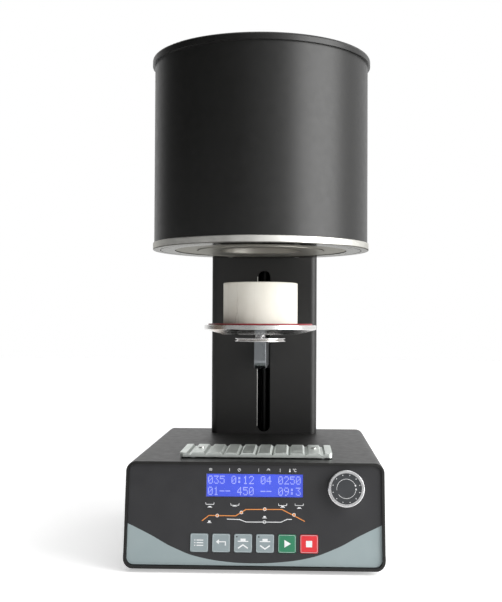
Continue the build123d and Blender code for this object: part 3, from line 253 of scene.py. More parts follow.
slot_edge_x, slot_edge_half = -8.55 * MM, 0.38 * MM
slot_middle_z, slot_half_length = 216.6 * MM, 97.0 * MM
column_coat = housing_coat.copy()
column_coat.name = "column_coat"
column_tree = column_coat.node_tree
column_shader = column_tree.nodes["Principled BSDF"]
column_axes = axes_of(column_tree, column_tree.nodes.new("ShaderNodeTexCoord").outputs["Object"])
# Painted highlight: a pale metal strip on the flat face beside the slot's left edge, where its bevel catches
# the light.
edge_near = calc(column_tree, "COMPARE", column_axes["X"], slot_edge_x, slot_edge_half)
edge_run = calc(column_tree, "COMPARE", column_axes["Z"], slot_middle_z, slot_half_length)
slot_edge_highlight = calc(column_tree, "MULTIPLY", edge_near, edge_run)
feed(column_tree, column_shader.inputs["Metallic"], slot_edge_highlight)
recolour(column_tree, column_shader, slot_edge_highlight, (0.70, 0.70, 0.68))
dress(column_coat, "column_shell")

# Jacket and lid: a rolled steel shell, and a spun cover whose edge stands a little proud of it.
# Both have a finer, smoother satin coat than the housing.
jacket_coat = powder_coat("jacket_coat", (0.0035, 0.0035, 0.0032), (0.005, 0.005, 0.0046), 0.36, 0.42)
dress(jacket_coat, "jacket", "lid")


# Head ring: aluminium turned on a lathe and polished, with concentric tool marks.
# Its underside has a finer finish than its rim, and a darker colour painted on it as shade.
def vector_calc(tree, operation, *values):
    """The result of a Vector Math node on vectors or sockets."""
    step = tree.nodes.new("ShaderNodeVectorMath")
    step.operation = operation
    for socket, value in zip(step.inputs, values):
        feed(tree, socket, value)
    return step.outputs["Value" if operation in ("LENGTH", "DOT_PRODUCT") else "Vector"]


def turned_metal(name, colour, low_rough, high_rough, edge_tint=(1.0, 1.0, 1.0), depth=0.004 * MM):
    """Turned metal: fine rings about the head's axis, in tone and relief."""
    mark_pitch, gloss_grain, pale_share = 0.4 * MM, 12 * MM, 1.06
    made, tree, shader, coordinates = finish_of(name, colour, low_rough, 1.0)
    shader.inputs["Specular Tint"].default_value = (*edge_tint, 1.0)
    from_axis = vector_calc(tree, "SUBTRACT", coordinates, (head_axis.x, head_axis.y, 0.0))
    radius = vector_calc(tree, "LENGTH", vector_calc(tree, "MULTIPLY", from_axis, (1.0, 1.0, 0.0)))
    outwards = tree.nodes.new("ShaderNodeCombineXYZ")
    feed(tree, outwards.inputs["X"], radius)
    marks = mottle(tree, outwards.outputs["Vector"], mark_pitch)
    gloss = mottle(tree, coordinates, gloss_grain, 2.0)
    feed(tree, shader.inputs["Roughness"], spread(tree, gloss, low_rough, high_rough))
    pale = tuple(min(1.0, c * pale_share) for c in colour)
    feed(tree, shader.inputs["Base Color"], blend_colours(tree, marks, colour, pale))
    relief(tree, shader, marks, depth, 0.6)
    return made, tree, shader, coordinates


ring_low, ring_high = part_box("head_ring")
head_axis = (ring_low + ring_high) / 2
under_top, rim_foot = ring_low.z + 0.6 * MM, ring_low.z + 1.4 * MM
under_gloss = 0.17
dull_edge = (0.45, 0.45, 0.43)
head_metal, head_tree, head_shader, head_place = turned_metal(
    "head_metal", (0.80, 0.79, 0.75), 0.34, 0.42, dull_edge
)
underside_finish_and_shade = spread(head_tree, axes_of(head_tree, head_place)["Z"], 1.0, 0.0, under_top, rim_foot)
# Painted shade: the downward-facing underside is darkened, where little light reaches under the head.
recolour(head_tree, head_shader, underside_finish_and_shade, (0.12, 0.116, 0.107))
rim_rough = head_shader.inputs["Roughness"].links[0].from_socket
under_rough = head_tree.nodes.new("ShaderNodeMix")
feed(head_tree, under_rough.inputs["Factor"], underside_finish_and_shade)
feed(head_tree, under_rough.inputs["A"], rim_rough)
feed(head_tree, under_rough.inputs["B"], under_gloss)
feed(head_tree, head_shader.inputs["Roughness"], under_rough.outputs["Result"])
dress(head_metal, "head_ring")

# Chamber flange: a stepped disc round the mouth, turned from aluminium as the ring is.
# The heat of the chamber has dulled it.
flange_metal = turned_metal("flange_metal", (0.37, 0.36, 0.33), 0.36, 0.44, dull_edge)[0]
dress(flange_metal, "chamber_flange")


# Chamber: a fired clay muffle with the fibre blocks round it, and the thermocouple's clay sheath.
# Many firings have turned them a warm grey-beige.
def fibre(name, dark, light, grain=4 * MM):
    """Pressed or sintered ceramic: blotched tone and a rough grain."""
    blotch_grain, grit_grain, grit_depth = grain * 3, grain / 8, 0.15 * MM
    made, tree, shader, coordinates = finish_of(name, light, 0.9)
    tone = mottle(tree, coordinates, blotch_grain, 4.0)
    feed(tree, shader.inputs["Base Color"], blend_colours(tree, tone, dark, light))
    relief(tree, shader, mottle(tree, coordinates, grit_grain, 4.0), grit_depth, 0.6)
    return made, tree, shader, coordinates


dress(fibre("muffle_clay", (0.30, 0.24, 0.15), (0.42, 0.34, 0.22))[0], "muffle_tube", "thermocouple")
dress(fibre("inner_fibre", (0.62, 0.56, 0.47), (0.78, 0.73, 0.64))[0], "chamber_insulation")

# Firing plinth: a thick disc of pressed ceramic fibre, cream, that stands on the lift plate.
# Faint hairline cracks run up its side, clearest left of the middle.
crack_stretch, crack_sway = (1.0, 1.0, 0.07), (0.004, 0.004, 0.004)
bend_scale, bend_detail, cell_scale = 90.0, 3.0, 60.0
crack_width, crack_core = 0.022, 0.4
crack_dark, crack_faint, crack_dark_x, crack_faint_x = 0.26, 0.03, -14 * MM, -4 * MM
plinth_fibre, plinth_tree, plinth_shader, plinth_place = fibre(
    "plinth_fibre", (0.66, 0.63, 0.55), (0.76, 0.74, 0.68), 6 * MM
)
crack_bend = plinth_tree.nodes.new("ShaderNodeTexNoise")
crack_bend.inputs["Scale"].default_value = bend_scale
crack_bend.inputs["Detail"].default_value = bend_detail
feed(plinth_tree, crack_bend.inputs["Vector"], plinth_place)
crack_drawn = vector_calc(plinth_tree, "MULTIPLY", plinth_place, crack_stretch)
crack_place = vector_calc(plinth_tree, "MULTIPLY_ADD", crack_bend.outputs["Color"], crack_sway, crack_drawn)
crack_cells = plinth_tree.nodes.new("ShaderNodeTexVoronoi")
crack_cells.feature = "DISTANCE_TO_EDGE"
crack_cells.inputs["Scale"].default_value = cell_scale
feed(plinth_tree, crack_cells.inputs["Vector"], crack_place)
crack_line = spread(
    plinth_tree, crack_cells.outputs["Distance"], 1.0, 0.0, crack_width * crack_core, crack_width
)
crack_strength = spread(
    plinth_tree, axes_of(plinth_tree, plinth_place)["X"], crack_dark, crack_faint, crack_dark_x, crack_faint_x
)
crack_shade = calc(plinth_tree, "MULTIPLY", crack_line, crack_strength)
recolour(plinth_tree, plinth_shader, crack_shade, (0.33, 0.29, 0.23))
dress(plinth_fibre, "firing_plinth")

# Lift plate and support disc: turned aluminium, the plate with a bright rim over a conical underside.
# A brown band is laid across the plate near its left end.
plate_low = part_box("lift_plate")[0]
brown_band_inset, brown_band_reach, brown_band_core, brown_band_strength = 19.3 * MM, 11.0 * MM, 0.3, 0.75
plate_metal, plate_tree, plate_shader, plate_place = turned_metal(
    "plate_metal", (0.72, 0.71, 0.70), 0.22, 0.25, depth=0.0006 * MM
)
# A brown band across the plate near its left end, fading out to both sides.
brown_band_off = calc(plate_tree, "SUBTRACT", axes_of(plate_tree, plate_place)["X"], plate_low.x + brown_band_inset)
brown_band_far = calc(plate_tree, "ABSOLUTE", brown_band_off)
brown_band = spread(plate_tree, brown_band_far, brown_band_strength, 0.0, brown_band_reach * brown_band_core, brown_band_reach)
recolour(plate_tree, plate_shader, brown_band, (0.36, 0.25, 0.17))
dress(plate_metal, "lift_plate", "support_disc")


# Seal, feet and vacuum line: moulded or drawn elastomers, matt and a little dusty.
# The seal is a red silicone ring in the plate's groove, and the feet are under the base pan.
def rubber(name, dark, light, roughness):
    """Matt elastomer with a dusty, uneven tone."""
    dust_grain, grit_grain, grit_depth = 6 * MM, 0.6 * MM, 0.03 * MM
    made, tree, shader, coordinates = finish_of(name, light, roughness)
    tone = mottle(tree, coordinates, dust_grain, 4.0)
    feed(tree, shader.inputs["Base Color"], blend_colours(tree, tone, dark, light))
    relief(tree, shader, mottle(tree, coordinates, grit_grain, 2.0), grit_depth, 0.5)
    return made


dress(rubber("seal_silicone", (0.20, 0.010, 0.015), (0.36, 0.02, 0.03), 0.4), "table_seal")
dress(rubber("foot_rubber_black", (0.012, 0.012, 0.012), (0.03, 0.03, 0.03), 0.8), "rubber_feet")
dress(rubber("hose_silicone", (0.45, 0.44, 0.40), (0.6, 0.58, 0.53), 0.5), "vacuum_line")


# Arm, frame and carriage: extruded and milled aluminium with a fine brushed grain, all but the arm anodised.
# Rods, shafts and bearings are ground steel, the bushes bronze, and the heating coil a dull alloy.
def brushed_metal(name, colour, low_rough, high_rough, stretch, grain=0.6 * MM, depth=0.008 * MM):
    """Brushed metal: noise drawn out along the axis where stretch is small."""
    gloss_grain, dull_share = 10 * MM, 0.86
    made, tree, shader, coordinates = finish_of(name, colour, low_rough, 1.0)
    brushing = mottle(tree, vector_calc(tree, "MULTIPLY", coordinates, stretch), grain)
    gloss = mottle(tree, coordinates, gloss_grain)
    feed(tree, shader.inputs["Roughness"], spread(tree, gloss, low_rough, high_rough))
    dull = tuple(c * dull_share for c in colour)
    feed(tree, shader.inputs["Base Color"], blend_colours(tree, brushing, dull, colour))
    relief(tree, shader, brushing, depth, 0.7)
    return made


along_x, along_y, along_z = (0.03, 1.0, 1.0), (1.0, 0.03, 1.0), (1.0, 1.0, 0.03)
dress(brushed_metal("arm_metal", (0.20, 0.212, 0.222), 0.26, 0.36, along_z), "lift_arm")
dress(brushed_metal("dark_anodised", (0.03, 0.03, 0.032), 0.45, 0.6, along_z),
      "carriage", "lift_frame", "bearing_plates", "shaft_coupling")
dress(brushed_metal("ground_steel", (0.52, 0.52, 0.53), 0.18, 0.3, along_z),
      "guide_rods", "motor_shaft", "screw_bearings", "pivot_pin", "dial_spindle")
dress(brushed_metal("oiled_screw", (0.05, 0.05, 0.05), 0.4, 0.5, along_z), "lead_screw")
dress(brushed_metal("drawn_steel", (0.5, 0.5, 0.5), 0.3, 0.42, along_z),
      "vacuum_vessel", "vacuum_valve", "dial_encoder")
dress(brushed_metal("bronze_bar", (0.62, 0.40, 0.18), 0.3, 0.4, along_z), "carriage_bushes")
dress(brushed_metal("coil_alloy", (0.20, 0.17, 0.15), 0.5, 0.65, along_x), "heating_coil")
dress(brushed_metal("nozzle_metal", (0.72, 0.72, 0.7), 0.22, 0.32, along_x), "vacuum_nozzle")
dress(brushed_metal("spring_wire", (0.75, 0.75, 0.76), 0.12, 0.2, along_x), "pivot_spring")

# Cooling tray: cast and milled aluminium, satin, with grooves across it, screwed on the base's top.
# The housing's screws are zinc plated, and the sheet under the printed film is bare aluminium.
dress(brushed_metal("tray_metal", (0.82, 0.87, 0.83), 0.36, 0.50, along_y), "cooling_tray")
dress(brushed_metal("screw_zinc", (0.70, 0.70, 0.68), 0.2, 0.3, along_x), "housing_screws")
dress(brushed_metal("panel_sheet", (0.55, 0.55, 0.56), 0.3, 0.4, along_x), "front_panel")


# Plastic parts inside and at the rear: black moulded fittings, green laminate boards, a taped winding.
# Their gloss is slightly uneven.
def moulded(name, colour, low_rough, high_rough):
    """Moulded plastic: fine leather grain, slightly uneven tone and gloss."""
    cloud_grain, leather_grain, leather_depth, deep_share = 10 * MM, 0.8 * MM, 0.02 * MM, 0.9
    made, tree, shader, coordinates = finish_of(name, colour, low_rough)
    cloud = mottle(tree, coordinates, cloud_grain)
    feed(tree, shader.inputs["Roughness"], spread(tree, cloud, low_rough, high_rough))
    deep = tuple(c * deep_share for c in colour)
    feed(tree, shader.inputs["Base Color"], blend_colours(tree, cloud, deep, colour))
    relief(tree, shader, mottle(tree, coordinates, leather_grain, 2.0), leather_depth, 0.4)
    return made


dress(moulded("fitting_plastic", (0.02, 0.02, 0.02), 0.35, 0.45),
      "mains_inlet", "mains_rocker", "pump_socket", "limit_switches", "lift_motor", "display_module")
dress(moulded("board_laminate", (0.02, 0.11, 0.05), 0.4, 0.5), "control_board", "power_board")
dress(moulded("winding_tape", (0.45, 0.30, 0.05), 0.5, 0.6), "transformer")

# Panel film: printed polyester over the tilted plate, charcoal with a light blue-grey sweep below.
# The sweep's upper edge is one shallow curve, low in the middle and high at both sides.
panel_tilt = math.radians(9.5)
film_thick, panel_sheet_thick = 0.4 * MM, 2.0 * MM
panel_in = Vector((0.0, math.cos(panel_tilt), -math.sin(panel_tilt)))
panel_up = Vector((0.0, math.sin(panel_tilt), math.cos(panel_tilt)))
film_low, film_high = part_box("panel_film")
film_shift = (film_thick + panel_sheet_thick) / 2 * math.tan(panel_tilt)
panel_middle = (film_low + film_high) / 2 - panel_in * film_thick / 2 - panel_up * film_shift
# The sweep's points are millimetres from the panel's middle, to the right and up.
sweep_edge = [(-127, -10.5), (-106, -20.5), (-80, -33.8), (-55, -42.2), (-24, -46.7), (0, -47.5)]
sweep_edge += [(24, -46.4), (52, -42.5), (82, -32.4), (107, -19.4), (127, -9.8)]
sweep_half, sweep_floor, sweep_height = 130.0, -54.0, 50.0
tone_grain, film_grain, film_depth = 20 * MM, 0.4 * MM, 0.01 * MM

film_print, film_tree, film_shader, film_place = finish_of("film_print", (0.03, 0.03, 0.032), 0.4)
film_local = vector_calc(film_tree, "SUBTRACT", film_place, panel_middle)
film_right = axes_of(film_tree, film_local)["X"]
film_height = vector_calc(film_tree, "DOT_PRODUCT", film_local, panel_up)
sweep_curve = film_tree.nodes.new("ShaderNodeFloatCurve")
curve_points = sweep_curve.mapping.curves[0].points
while len(curve_points) < len(sweep_edge):
    curve_points.new(0.5, 0.5)
for point, (x_mm, up_mm) in zip(curve_points, sweep_edge):
    point.location = ((x_mm + sweep_half) / (2 * sweep_half), (up_mm - sweep_floor) / sweep_height)
sweep_curve.mapping.update()
sweep_along = spread(film_tree, film_right, 0.0, 1.0, -sweep_half * MM, sweep_half * MM)
feed(film_tree, sweep_curve.inputs["Value"], sweep_along)
film_rise = spread(
    film_tree, film_height, 0.0, 1.0, sweep_floor * MM, (sweep_floor + sweep_height) * MM
)
sweep_below = calc(film_tree, "LESS_THAN", film_rise, sweep_curve.outputs["Value"])
film_cloud = mottle(film_tree, film_place, tone_grain)
film_dark = blend_colours(film_tree, film_cloud, (0.020, 0.020, 0.022), (0.026, 0.026, 0.028))
film_light = blend_colours(film_tree, film_cloud, (0.26, 0.32, 0.33), (0.295, 0.35, 0.36))
film_colour = blend_colours(film_tree, sweep_below, film_dark, film_light)
feed(film_tree, film_shader.inputs["Base Color"], film_colour)
feed(film_tree, film_shader.inputs["Roughness"], spread(film_tree, film_cloud, 0.36, 0.44))
relief(film_tree, film_shader, mottle(film_tree, film_place, film_grain, 2.0), film_depth, 0.4)
dress(film_print, "panel_film")

# Film print: a generic firing curve in orange, a white holding curve below it, and small table signs.
# Each print is a closed slip of thin ink, drawn flat in millimetres and laid on the panel.
ink = 0.06
panel_frame = Matrix((
    (1.0, panel_up.x, -panel_in.x, panel_middle.x),
    (0.0, panel_up.y, -panel_in.y, panel_middle.y),
    (0.0, panel_up.z, -panel_in.z, panel_middle.z),
    (0.0, 0.0, 0.0, 1.0),
))


def skin(bm, near, far):
    """A band of faces between two closed rows of corners."""
    for i in range(len(near)):
        j = (i + 1) % len(near)
        bm.faces.new((near[i], near[j], far[j], far[i]))


def prism(bm, outline, low=-ink / 2, high=ink):
    """A closed slip over a flat outline."""
    under = [bm.verts.new((x, y, low)) for x, y in outline]
    over = [bm.verts.new((x, y, high)) for x, y in outline]
    bm.faces.new(over)
    bm.faces.new(under[::-1])
    skin(bm, under, over)


def slab(bm, left, foot, width, height, low=-ink / 2, high=ink):
    """A rectangular slip."""
    right, top = left + width, foot + height
    prism(bm, [(left, foot), (right, foot), (right, top), (left, top)], low, high)


def disc(bm, x, y, radius, low=-ink / 2, high=ink, sides=20):
    """A round slip."""
    turns = [2 * math.pi * i / sides for i in range(sides)]
    prism(bm, [(x + radius * math.cos(a), y + radius * math.sin(a)) for a in turns], low, high)


def stroke(bm, points, width, low=-ink / 2, high=ink, closed=False):
    """A line of a width along points, mitred at its corners."""
    sharpest = 0.4
    count = len(points)
    rings = []
    for i, (x, y) in enumerate(points):
        before = points[i - 1] if i or closed else points[i]
        after = points[(i + 1) % count] if i < count - 1 or closed else points[i]
        lead = Vector((x - before[0], y - before[1]))
        trail = Vector((after[0] - x, after[1] - y))
        lead = lead.normalized() if lead.length else trail.normalized()
        trail = trail.normalized() if trail.length else lead
        along = (lead + trail).normalized()
        across = Vector((-along.y, along.x)) * width / 2 / max(sharpest, along.dot(lead))
        left, right = (x + across.x, y + across.y), (x - across.x, y - across.y)
        corners = ((*left, high), (*right, high), (*right, low), (*left, low))
        rings.append([bm.verts.new(corner) for corner in corners])
    for i in range(count if closed else count - 1):
        skin(bm, rings[i], rings[(i + 1) % count])
    if not closed:
        bm.faces.new(rings[0][::-1])
        bm.faces.new(rings[-1])


def arc(x, y, radius, start, end, steps):
    """Points along an arc, in degrees."""
    turns = [math.radians(start + (end - start) * i / steps) for i in range(steps + 1)]
    return [(x + radius * math.cos(a), y + radius * math.sin(a)) for a in turns]


def slip_mesh(name, draw):
    """A closed mesh in millimetres, drawn by draw(bm)."""
    bm = bmesh.new()
    draw(bm)
    bmesh.ops.recalc_face_normals(bm, faces=bm.faces)
    mesh = bpy.data.meshes.new(name)
    bm.to_mesh(mesh)
    bm.free()
    return mesh


def laid(name, matrix, paint, body, draw):
    """A slip that is laid by a matrix and rides on a body."""
    mesh = slip_mesh(name, draw)
    mesh.transform(matrix @ Matrix.Scale(MM, 4))
    mesh.materials.append(paint)
    piece = placed(name, mesh)
    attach(piece, body)


white_ink = moulded("white_ink", (0.80, 0.81, 0.82), 0.4, 0.5)
orange_ink = moulded("orange_ink", (0.72, 0.26, 0.06), 0.4, 0.5)
firing_curve = [(-53.4, -6.2), (-46.5, -0.7), (-19.0, -0.8), (-8.6, 5.7), (28.1, 6.1), (51.5, -5.6)]
holding_curve = [(-27.9, -4.1), (-15.1, -4.4), (-8.4, -6.8), (27.2, -6.6), (33.3, -3.7), (38.3, -3.7)]
firing_marks = [(-37.9, -0.7), (-13.2, 2.6), (10.6, 6.2), (40.4, 0.9)]
holding_mark = (10.4, -6.6)
mark_radius = 1.5
mouth_signs = ((-45.6, 10.4, 2.9), (-20.0, 9.8, 1.0), (28.8, 10.0, 1.8), (45.7, 10.2, 2.9))
table_signs = ((-45.9, -7.4), (10.5, -2.2))


def draw_firing_curve(bm):
    """Orange line with round marks."""
    stroke(bm, firing_curve, 0.9)
    for x, y in firing_marks:
        disc(bm, x, y, mark_radius, high=ink * 1.3)


def draw_holding_curve(bm):
    """White line, the rims of all marks, and the signs of mouth and table."""
    stroke(bm, holding_curve, 0.7)
    for x, y in (*firing_marks, holding_mark):
        stroke(bm, arc(x, y, mark_radius, 0, 342, 18), 0.45, high=ink * 1.6, closed=True)
    for x, y, drop in mouth_signs:
        stroke(bm, [(x - 4.3, y + 1.9), (x - 4.0, y), (x + 4.0, y), (x + 4.3, y + 1.9)], 0.5)
        slab(bm, x - 1.4, y - drop, 2.8, 1.2)
        stroke(bm, [(x - 2.4, y - drop), (x + 2.4, y - drop)], 0.45)
    for x, y in table_signs:
        slab(bm, x - 1.2, y, 2.4, 1.5)
        stroke(bm, [(x - 2.3, y - 0.5), (x + 2.3, y - 0.5)], 0.5)


laid("print_firing_curve", panel_frame, orange_ink, "root", draw_firing_curve)
laid("print_holding_curve", panel_frame, white_ink, "root", draw_holding_curve)

# Film print above the display: small signs for step, time, vacuum and temperature, parted by bars.
# They are white ink, printed in one row.
sign_up = 45.4
wave_x, clock_x, gauge_x, stem_x, degree_x, unit_x = -47.0, -16.0, 14.0, 36.0, 39.6, 41.8
bar_places = (-26.0, 4.0, 26.0)


def draw_signs(bm):
    """Step waves, a clock, a gauge, and a thermometer with its unit."""
    for lift in (-0.9, 0.0, 0.9):
        stroke(bm, [(wave_x + k, sign_up + lift + 0.5 * (k % 2)) for k in range(4)], 0.35)
    for x in bar_places:
        stroke(bm, [(x, sign_up - 1.6), (x, sign_up + 1.6)], 0.4)
    stroke(bm, arc(clock_x, sign_up, 1.4, 0, 345, 16), 0.4, closed=True)
    stroke(bm, [(clock_x, sign_up + 0.9), (clock_x, sign_up), (clock_x + 0.7, sign_up)], 0.35)
    stroke(bm, arc(gauge_x, sign_up, 1.4, -30, 210, 14), 0.4)
    stroke(bm, [(gauge_x, sign_up), (gauge_x + 0.8, sign_up + 0.9)], 0.4)
    stroke(bm, [(stem_x, sign_up - 0.4), (stem_x, sign_up + 1.7)], 0.7)
    disc(bm, stem_x, sign_up - 1.0, 0.85)
    stroke(bm, arc(degree_x, sign_up + 1.1, 0.5, 0, 330, 10), 0.3, closed=True)
    stroke(bm, arc(unit_x, sign_up, 1.3, 50, 310, 14), 0.45)


laid("print_signs", panel_frame, white_ink, "root", draw_signs)

# Keys: moulded caps that stand a little proud of the film, four blue-grey, one green and one red.
# Each has a plain sign and a pale frame near its edge, which is a painted highlight of the embossed edge; two
# have a dot in a corner.
for key_colour, key_nodes in (
    ((0.265, 0.315, 0.33), ("key_menu", "key_back", "key_up", "key_down")),
    ((0.028, 0.205, 0.105), ("key_start",)),
    ((0.68, 0.03, 0.04), ("key_stop",)),
):
    dress(moulded(key_nodes[0] + "_plastic", key_colour, 0.35, 0.42), *key_nodes)

black_ink = moulded("black_ink", (0.02, 0.02, 0.02), 0.4, 0.5)
# Painted highlight: the pale frame near each key's edge stands for the light on its embossed edge.
key_highlight_ink = moulded("key_highlight_ink", (0.46, 0.52, 0.53), 0.4, 0.5)
key_row = ("key_menu", "key_back", "key_up", "key_down", "key_start", "key_stop")
key_drop, key_step, key_out = -27.85, 22.3, 0.7
key_frame_wide, key_frame_tall, key_frame_corner, key_frame_line = 16.6, 16.7, 1.4, 0.36
key_dot_left, key_dot_up, key_dot_radius = -6.3, 6.4, 0.75
key_face = (key_out - ink / 2, key_out + ink)


def round_frame(x, y, width, height, radius):
    """Outline of a rectangle with round corners."""
    points = []
    for sx, sy, start in ((1, 1, 0), (-1, 1, 90), (-1, -1, 180), (1, -1, 270)):
        corner_x, corner_y = x + sx * (width / 2 - radius), y + sy * (height / 2 - radius)
        points += arc(corner_x, corner_y, radius, start, start + 90, 5)
    return points


def draw_key_sign(bm, key, x, y):
    """The sign of one key."""
    if key == "key_menu":
        for lift in (-2.6, 0.0, 2.6):
            stroke(bm, [(x - 2.6, y + lift), (x + 4.2, y + lift)], 0.9, *key_face)
            disc(bm, x - 4.4, y + lift, 0.6, *key_face, 12)
    elif key == "key_back":
        stroke(bm, [(x + 4.4, y - 2.6), (x + 4.4, y + 1.2), (x - 3.0, y + 1.2)], 1.0, *key_face)
        prism(bm, [(x - 5.2, y + 1.2), (x - 2.2, y - 1.3), (x - 2.2, y + 3.7)], *key_face)
    elif key in ("key_up", "key_down"):
        slab(bm, x - 2.6, y + 2.4, 5.2, 2.2, *key_face)
        stroke(bm, [(x - 5.4, y + 1.9), (x + 5.4, y + 1.9)], 0.9, *key_face)
        point, foot = (-1.6, -5.0) if key == "key_up" else (-5.4, -2.0)
        stroke(bm, [(x - 5.0, y + foot), (x, y + point), (x + 5.0, y + foot)], 1.3, *key_face)
    elif key == "key_start":
        prism(bm, [(x - 2.6, y - 3.8), (x + 3.9, y), (x - 2.6, y + 3.8)], *key_face)
    else:
        slab(bm, x - 3.1, y - 3.1, 6.2, 6.2, *key_face)


def draw_key_highlight(bm, x, y):
    """The thin pale frame near a key's edge, a painted highlight of its embossed edge."""
    outline = round_frame(x, y, key_frame_wide, key_frame_tall, key_frame_corner)
    stroke(bm, outline, key_frame_line, key_out - ink / 2, key_out + ink / 2, closed=True)


for key_index, key in enumerate(key_row):
    key_x = (key_index - (len(key_row) - 1) / 2) * key_step
    laid(key + "_sign", panel_frame, white_ink, key, lambda bm: draw_key_sign(bm, key, key_x, key_drop))
    laid(key + "_frame", panel_frame, key_highlight_ink, key, lambda bm: draw_key_highlight(bm, key_x, key_drop))
    if key in ("key_up", "key_down"):
        dot_place = (key_x + key_dot_left, key_drop + key_dot_up)
        laid(key + "_dot", panel_frame, black_ink, key,
             lambda bm: disc(bm, *dot_place, key_dot_radius, *key_face, 12))

# Dial: a bright turned ring round a dark cap with a printed circle and two arrowheads.
# Twelve short printed ticks stand round the cap, one slip repeated about the dial's axis.
dial_silver = brushed_metal(
    "dial_silver", (0.92, 0.92, 0.93), 0.24, 0.30, along_x, grain=2 * MM, depth=0.001 * MM
)
dress(dial_silver, "dial_ring")
dress(moulded("dial_dark", (0.035, 0.038, 0.042), 0.35, 0.45), "dial_cap")
dial_right, dial_lift, dial_face = 93.2, 27.45, 10.8
tick_count, tick_circle, tick_turn, tick_half, tick_line = 12, 13.9, 15.0, 0.55, 0.6
dial_circle, dial_line = 9.7, 0.34
arrow_half, arrow_fore, arrow_back = 0.9, 1.0, -0.9


def repeated_round(name, slip, count, radius, turn, paint, matrix, body):
    """A slip in millimetres repeated round a circle by Geometry Nodes, then made plain and laid."""
    tree = bpy.data.node_groups.new(name + "_ring", "GeometryNodeTree")
    for title, kind in (
        ("Count", "Int"), ("Radius", "Float"), ("Turn", "Float"), ("Piece", "Object"), ("Paint", "Material")
    ):
        tree.interface.new_socket(title, in_out="INPUT", socket_type="NodeSocket" + kind)
    tree.interface.new_socket("Geometry", in_out="OUTPUT", socket_type="NodeSocketGeometry")
    given = tree.nodes.new("NodeGroupInput").outputs
    index = tree.nodes.new("GeometryNodeInputIndex").outputs["Index"]
    share = calc(tree, "DIVIDE", index, given["Count"])
    angle = calc(tree, "MULTIPLY_ADD", share, 2 * math.pi, given["Turn"])
    spot = tree.nodes.new("ShaderNodeCombineXYZ")
    feed(tree, spot.inputs["X"], calc(tree, "MULTIPLY", calc(tree, "COSINE", angle), given["Radius"]))
    feed(tree, spot.inputs["Y"], calc(tree, "MULTIPLY", calc(tree, "SINE", angle), given["Radius"]))
    points = tree.nodes.new("GeometryNodePoints")
    feed(tree, points.inputs["Count"], given["Count"])
    feed(tree, points.inputs["Position"], spot.outputs["Vector"])
    facing = tree.nodes.new("ShaderNodeCombineXYZ")
    feed(tree, facing.inputs["Z"], angle)
    info = tree.nodes.new("GeometryNodeObjectInfo")
    feed(tree, info.inputs["Object"], given["Piece"])
    copies = tree.nodes.new("GeometryNodeInstanceOnPoints")
    feed(tree, copies.inputs["Points"], points.outputs["Points"])
    feed(tree, copies.inputs["Instance"], info.outputs["Geometry"])
    feed(tree, copies.inputs["Rotation"], facing.outputs["Vector"])
    real = tree.nodes.new("GeometryNodeRealizeInstances")
    feed(tree, real.inputs["Geometry"], copies.outputs["Instances"])
    coat = tree.nodes.new("GeometryNodeSetMaterial")
    feed(tree, coat.inputs["Geometry"], real.outputs["Geometry"])
    feed(tree, coat.inputs["Material"], given["Paint"])
    result = tree.nodes.new("NodeGroupOutput")
    feed(tree, result.inputs["Geometry"], coat.outputs["Geometry"])
    pattern = placed(name + "_one", slip)
    carrier = placed(name + "_carrier", bpy.data.meshes.new(name + "_carrier"))
    modifier = carrier.modifiers.new("ring", "NODES")
    modifier.node_group = tree
    values = {"Count": count, "Radius": radius, "Turn": math.radians(turn), "Piece": pattern, "Paint": paint}
    for socket in tree.interface.items_tree:
        if socket.in_out == "INPUT":
            modifier[socket.identifier] = values[socket.name]
    depsgraph = bpy.context.evaluated_depsgraph_get()
    mesh = bpy.data.meshes.new_from_object(carrier.evaluated_get(depsgraph))
    mesh.name = name
    carrier.modifiers.clear()
    for spare in (pattern, carrier):
        bpy.data.objects.remove(spare)
    mesh.transform(matrix @ Matrix.Scale(MM, 4))
    piece = placed(name, mesh)
    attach(piece, body)


def draw_tick(bm):
    """One tick, along the dial's radius."""
    stroke(bm, [(-tick_half, 0.0), (tick_half, 0.0)], tick_line)


def draw_dial_print(bm):
    """Open circle with two arrowheads at the right."""
    stroke(bm, arc(0.0, 0.0, dial_circle, 24, 188, 30), dial_line)
    stroke(bm, arc(0.0, 0.0, dial_circle, 216, 352, 26), dial_line)
    for turn, way in ((17.0, 1.0), (-1.0, -1.0)):
        turned = Matrix.Rotation(math.radians(turn), 2)
        arrow = ((-arrow_half, arrow_fore), (arrow_half, arrow_fore), (0.0, arrow_back))
        tips = [turned @ Vector((dial_circle + across, along * way)) for across, along in arrow]
        prism(bm, [(tip.x, tip.y) for tip in tips])


dial_frame = panel_frame @ Matrix.Translation((dial_right * MM, dial_lift * MM, dial_face * MM))
repeated_round("dial_ticks", slip_mesh("tick", draw_tick), tick_count, tick_circle, tick_turn,
               white_ink, dial_frame, "dial")
laid("dial_print", dial_frame, white_ink, "dial", draw_dial_print)

# Display: blue-lit glass with a character matrix, in the module's bezel behind the clear window.
# The two rows show plain figures, each a grid of five by seven dots, where 1 is a lit dot.
acrylic_clear, acrylic_index, haze_grain = 1.0, 1.3, 10 * MM
window_clear, window_tree, window_shader, window_place = finish_of("window_acrylic", (0.92, 0.94, 1.0), 0.05)
window_shader.inputs["Transmission Weight"].default_value = acrylic_clear
window_shader.inputs["IOR"].default_value = acrylic_index
window_haze = mottle(window_tree, window_place, haze_grain, 2.0)
feed(window_tree, window_shader.inputs["Roughness"], spread(window_tree, window_haze, 0.03, 0.07))
dress(window_clear, "display_window")
glass_up, glass_depth, glass_width, glass_height, glass_thick = 29.85, 3.4, 98.8, 23.0, 0.2
dot_wide, dot_tall, dot_step_across, dot_step_down, dot_thick = 0.86, 1.05, 1.0, 1.2, 0.06
figure_step, row_step, figure_inset, first_row_up = 6.02, 11.3, 1.3, 9.6
display_rows = ("035 0:12 04 0250", "01-- 450 -- 09:3")
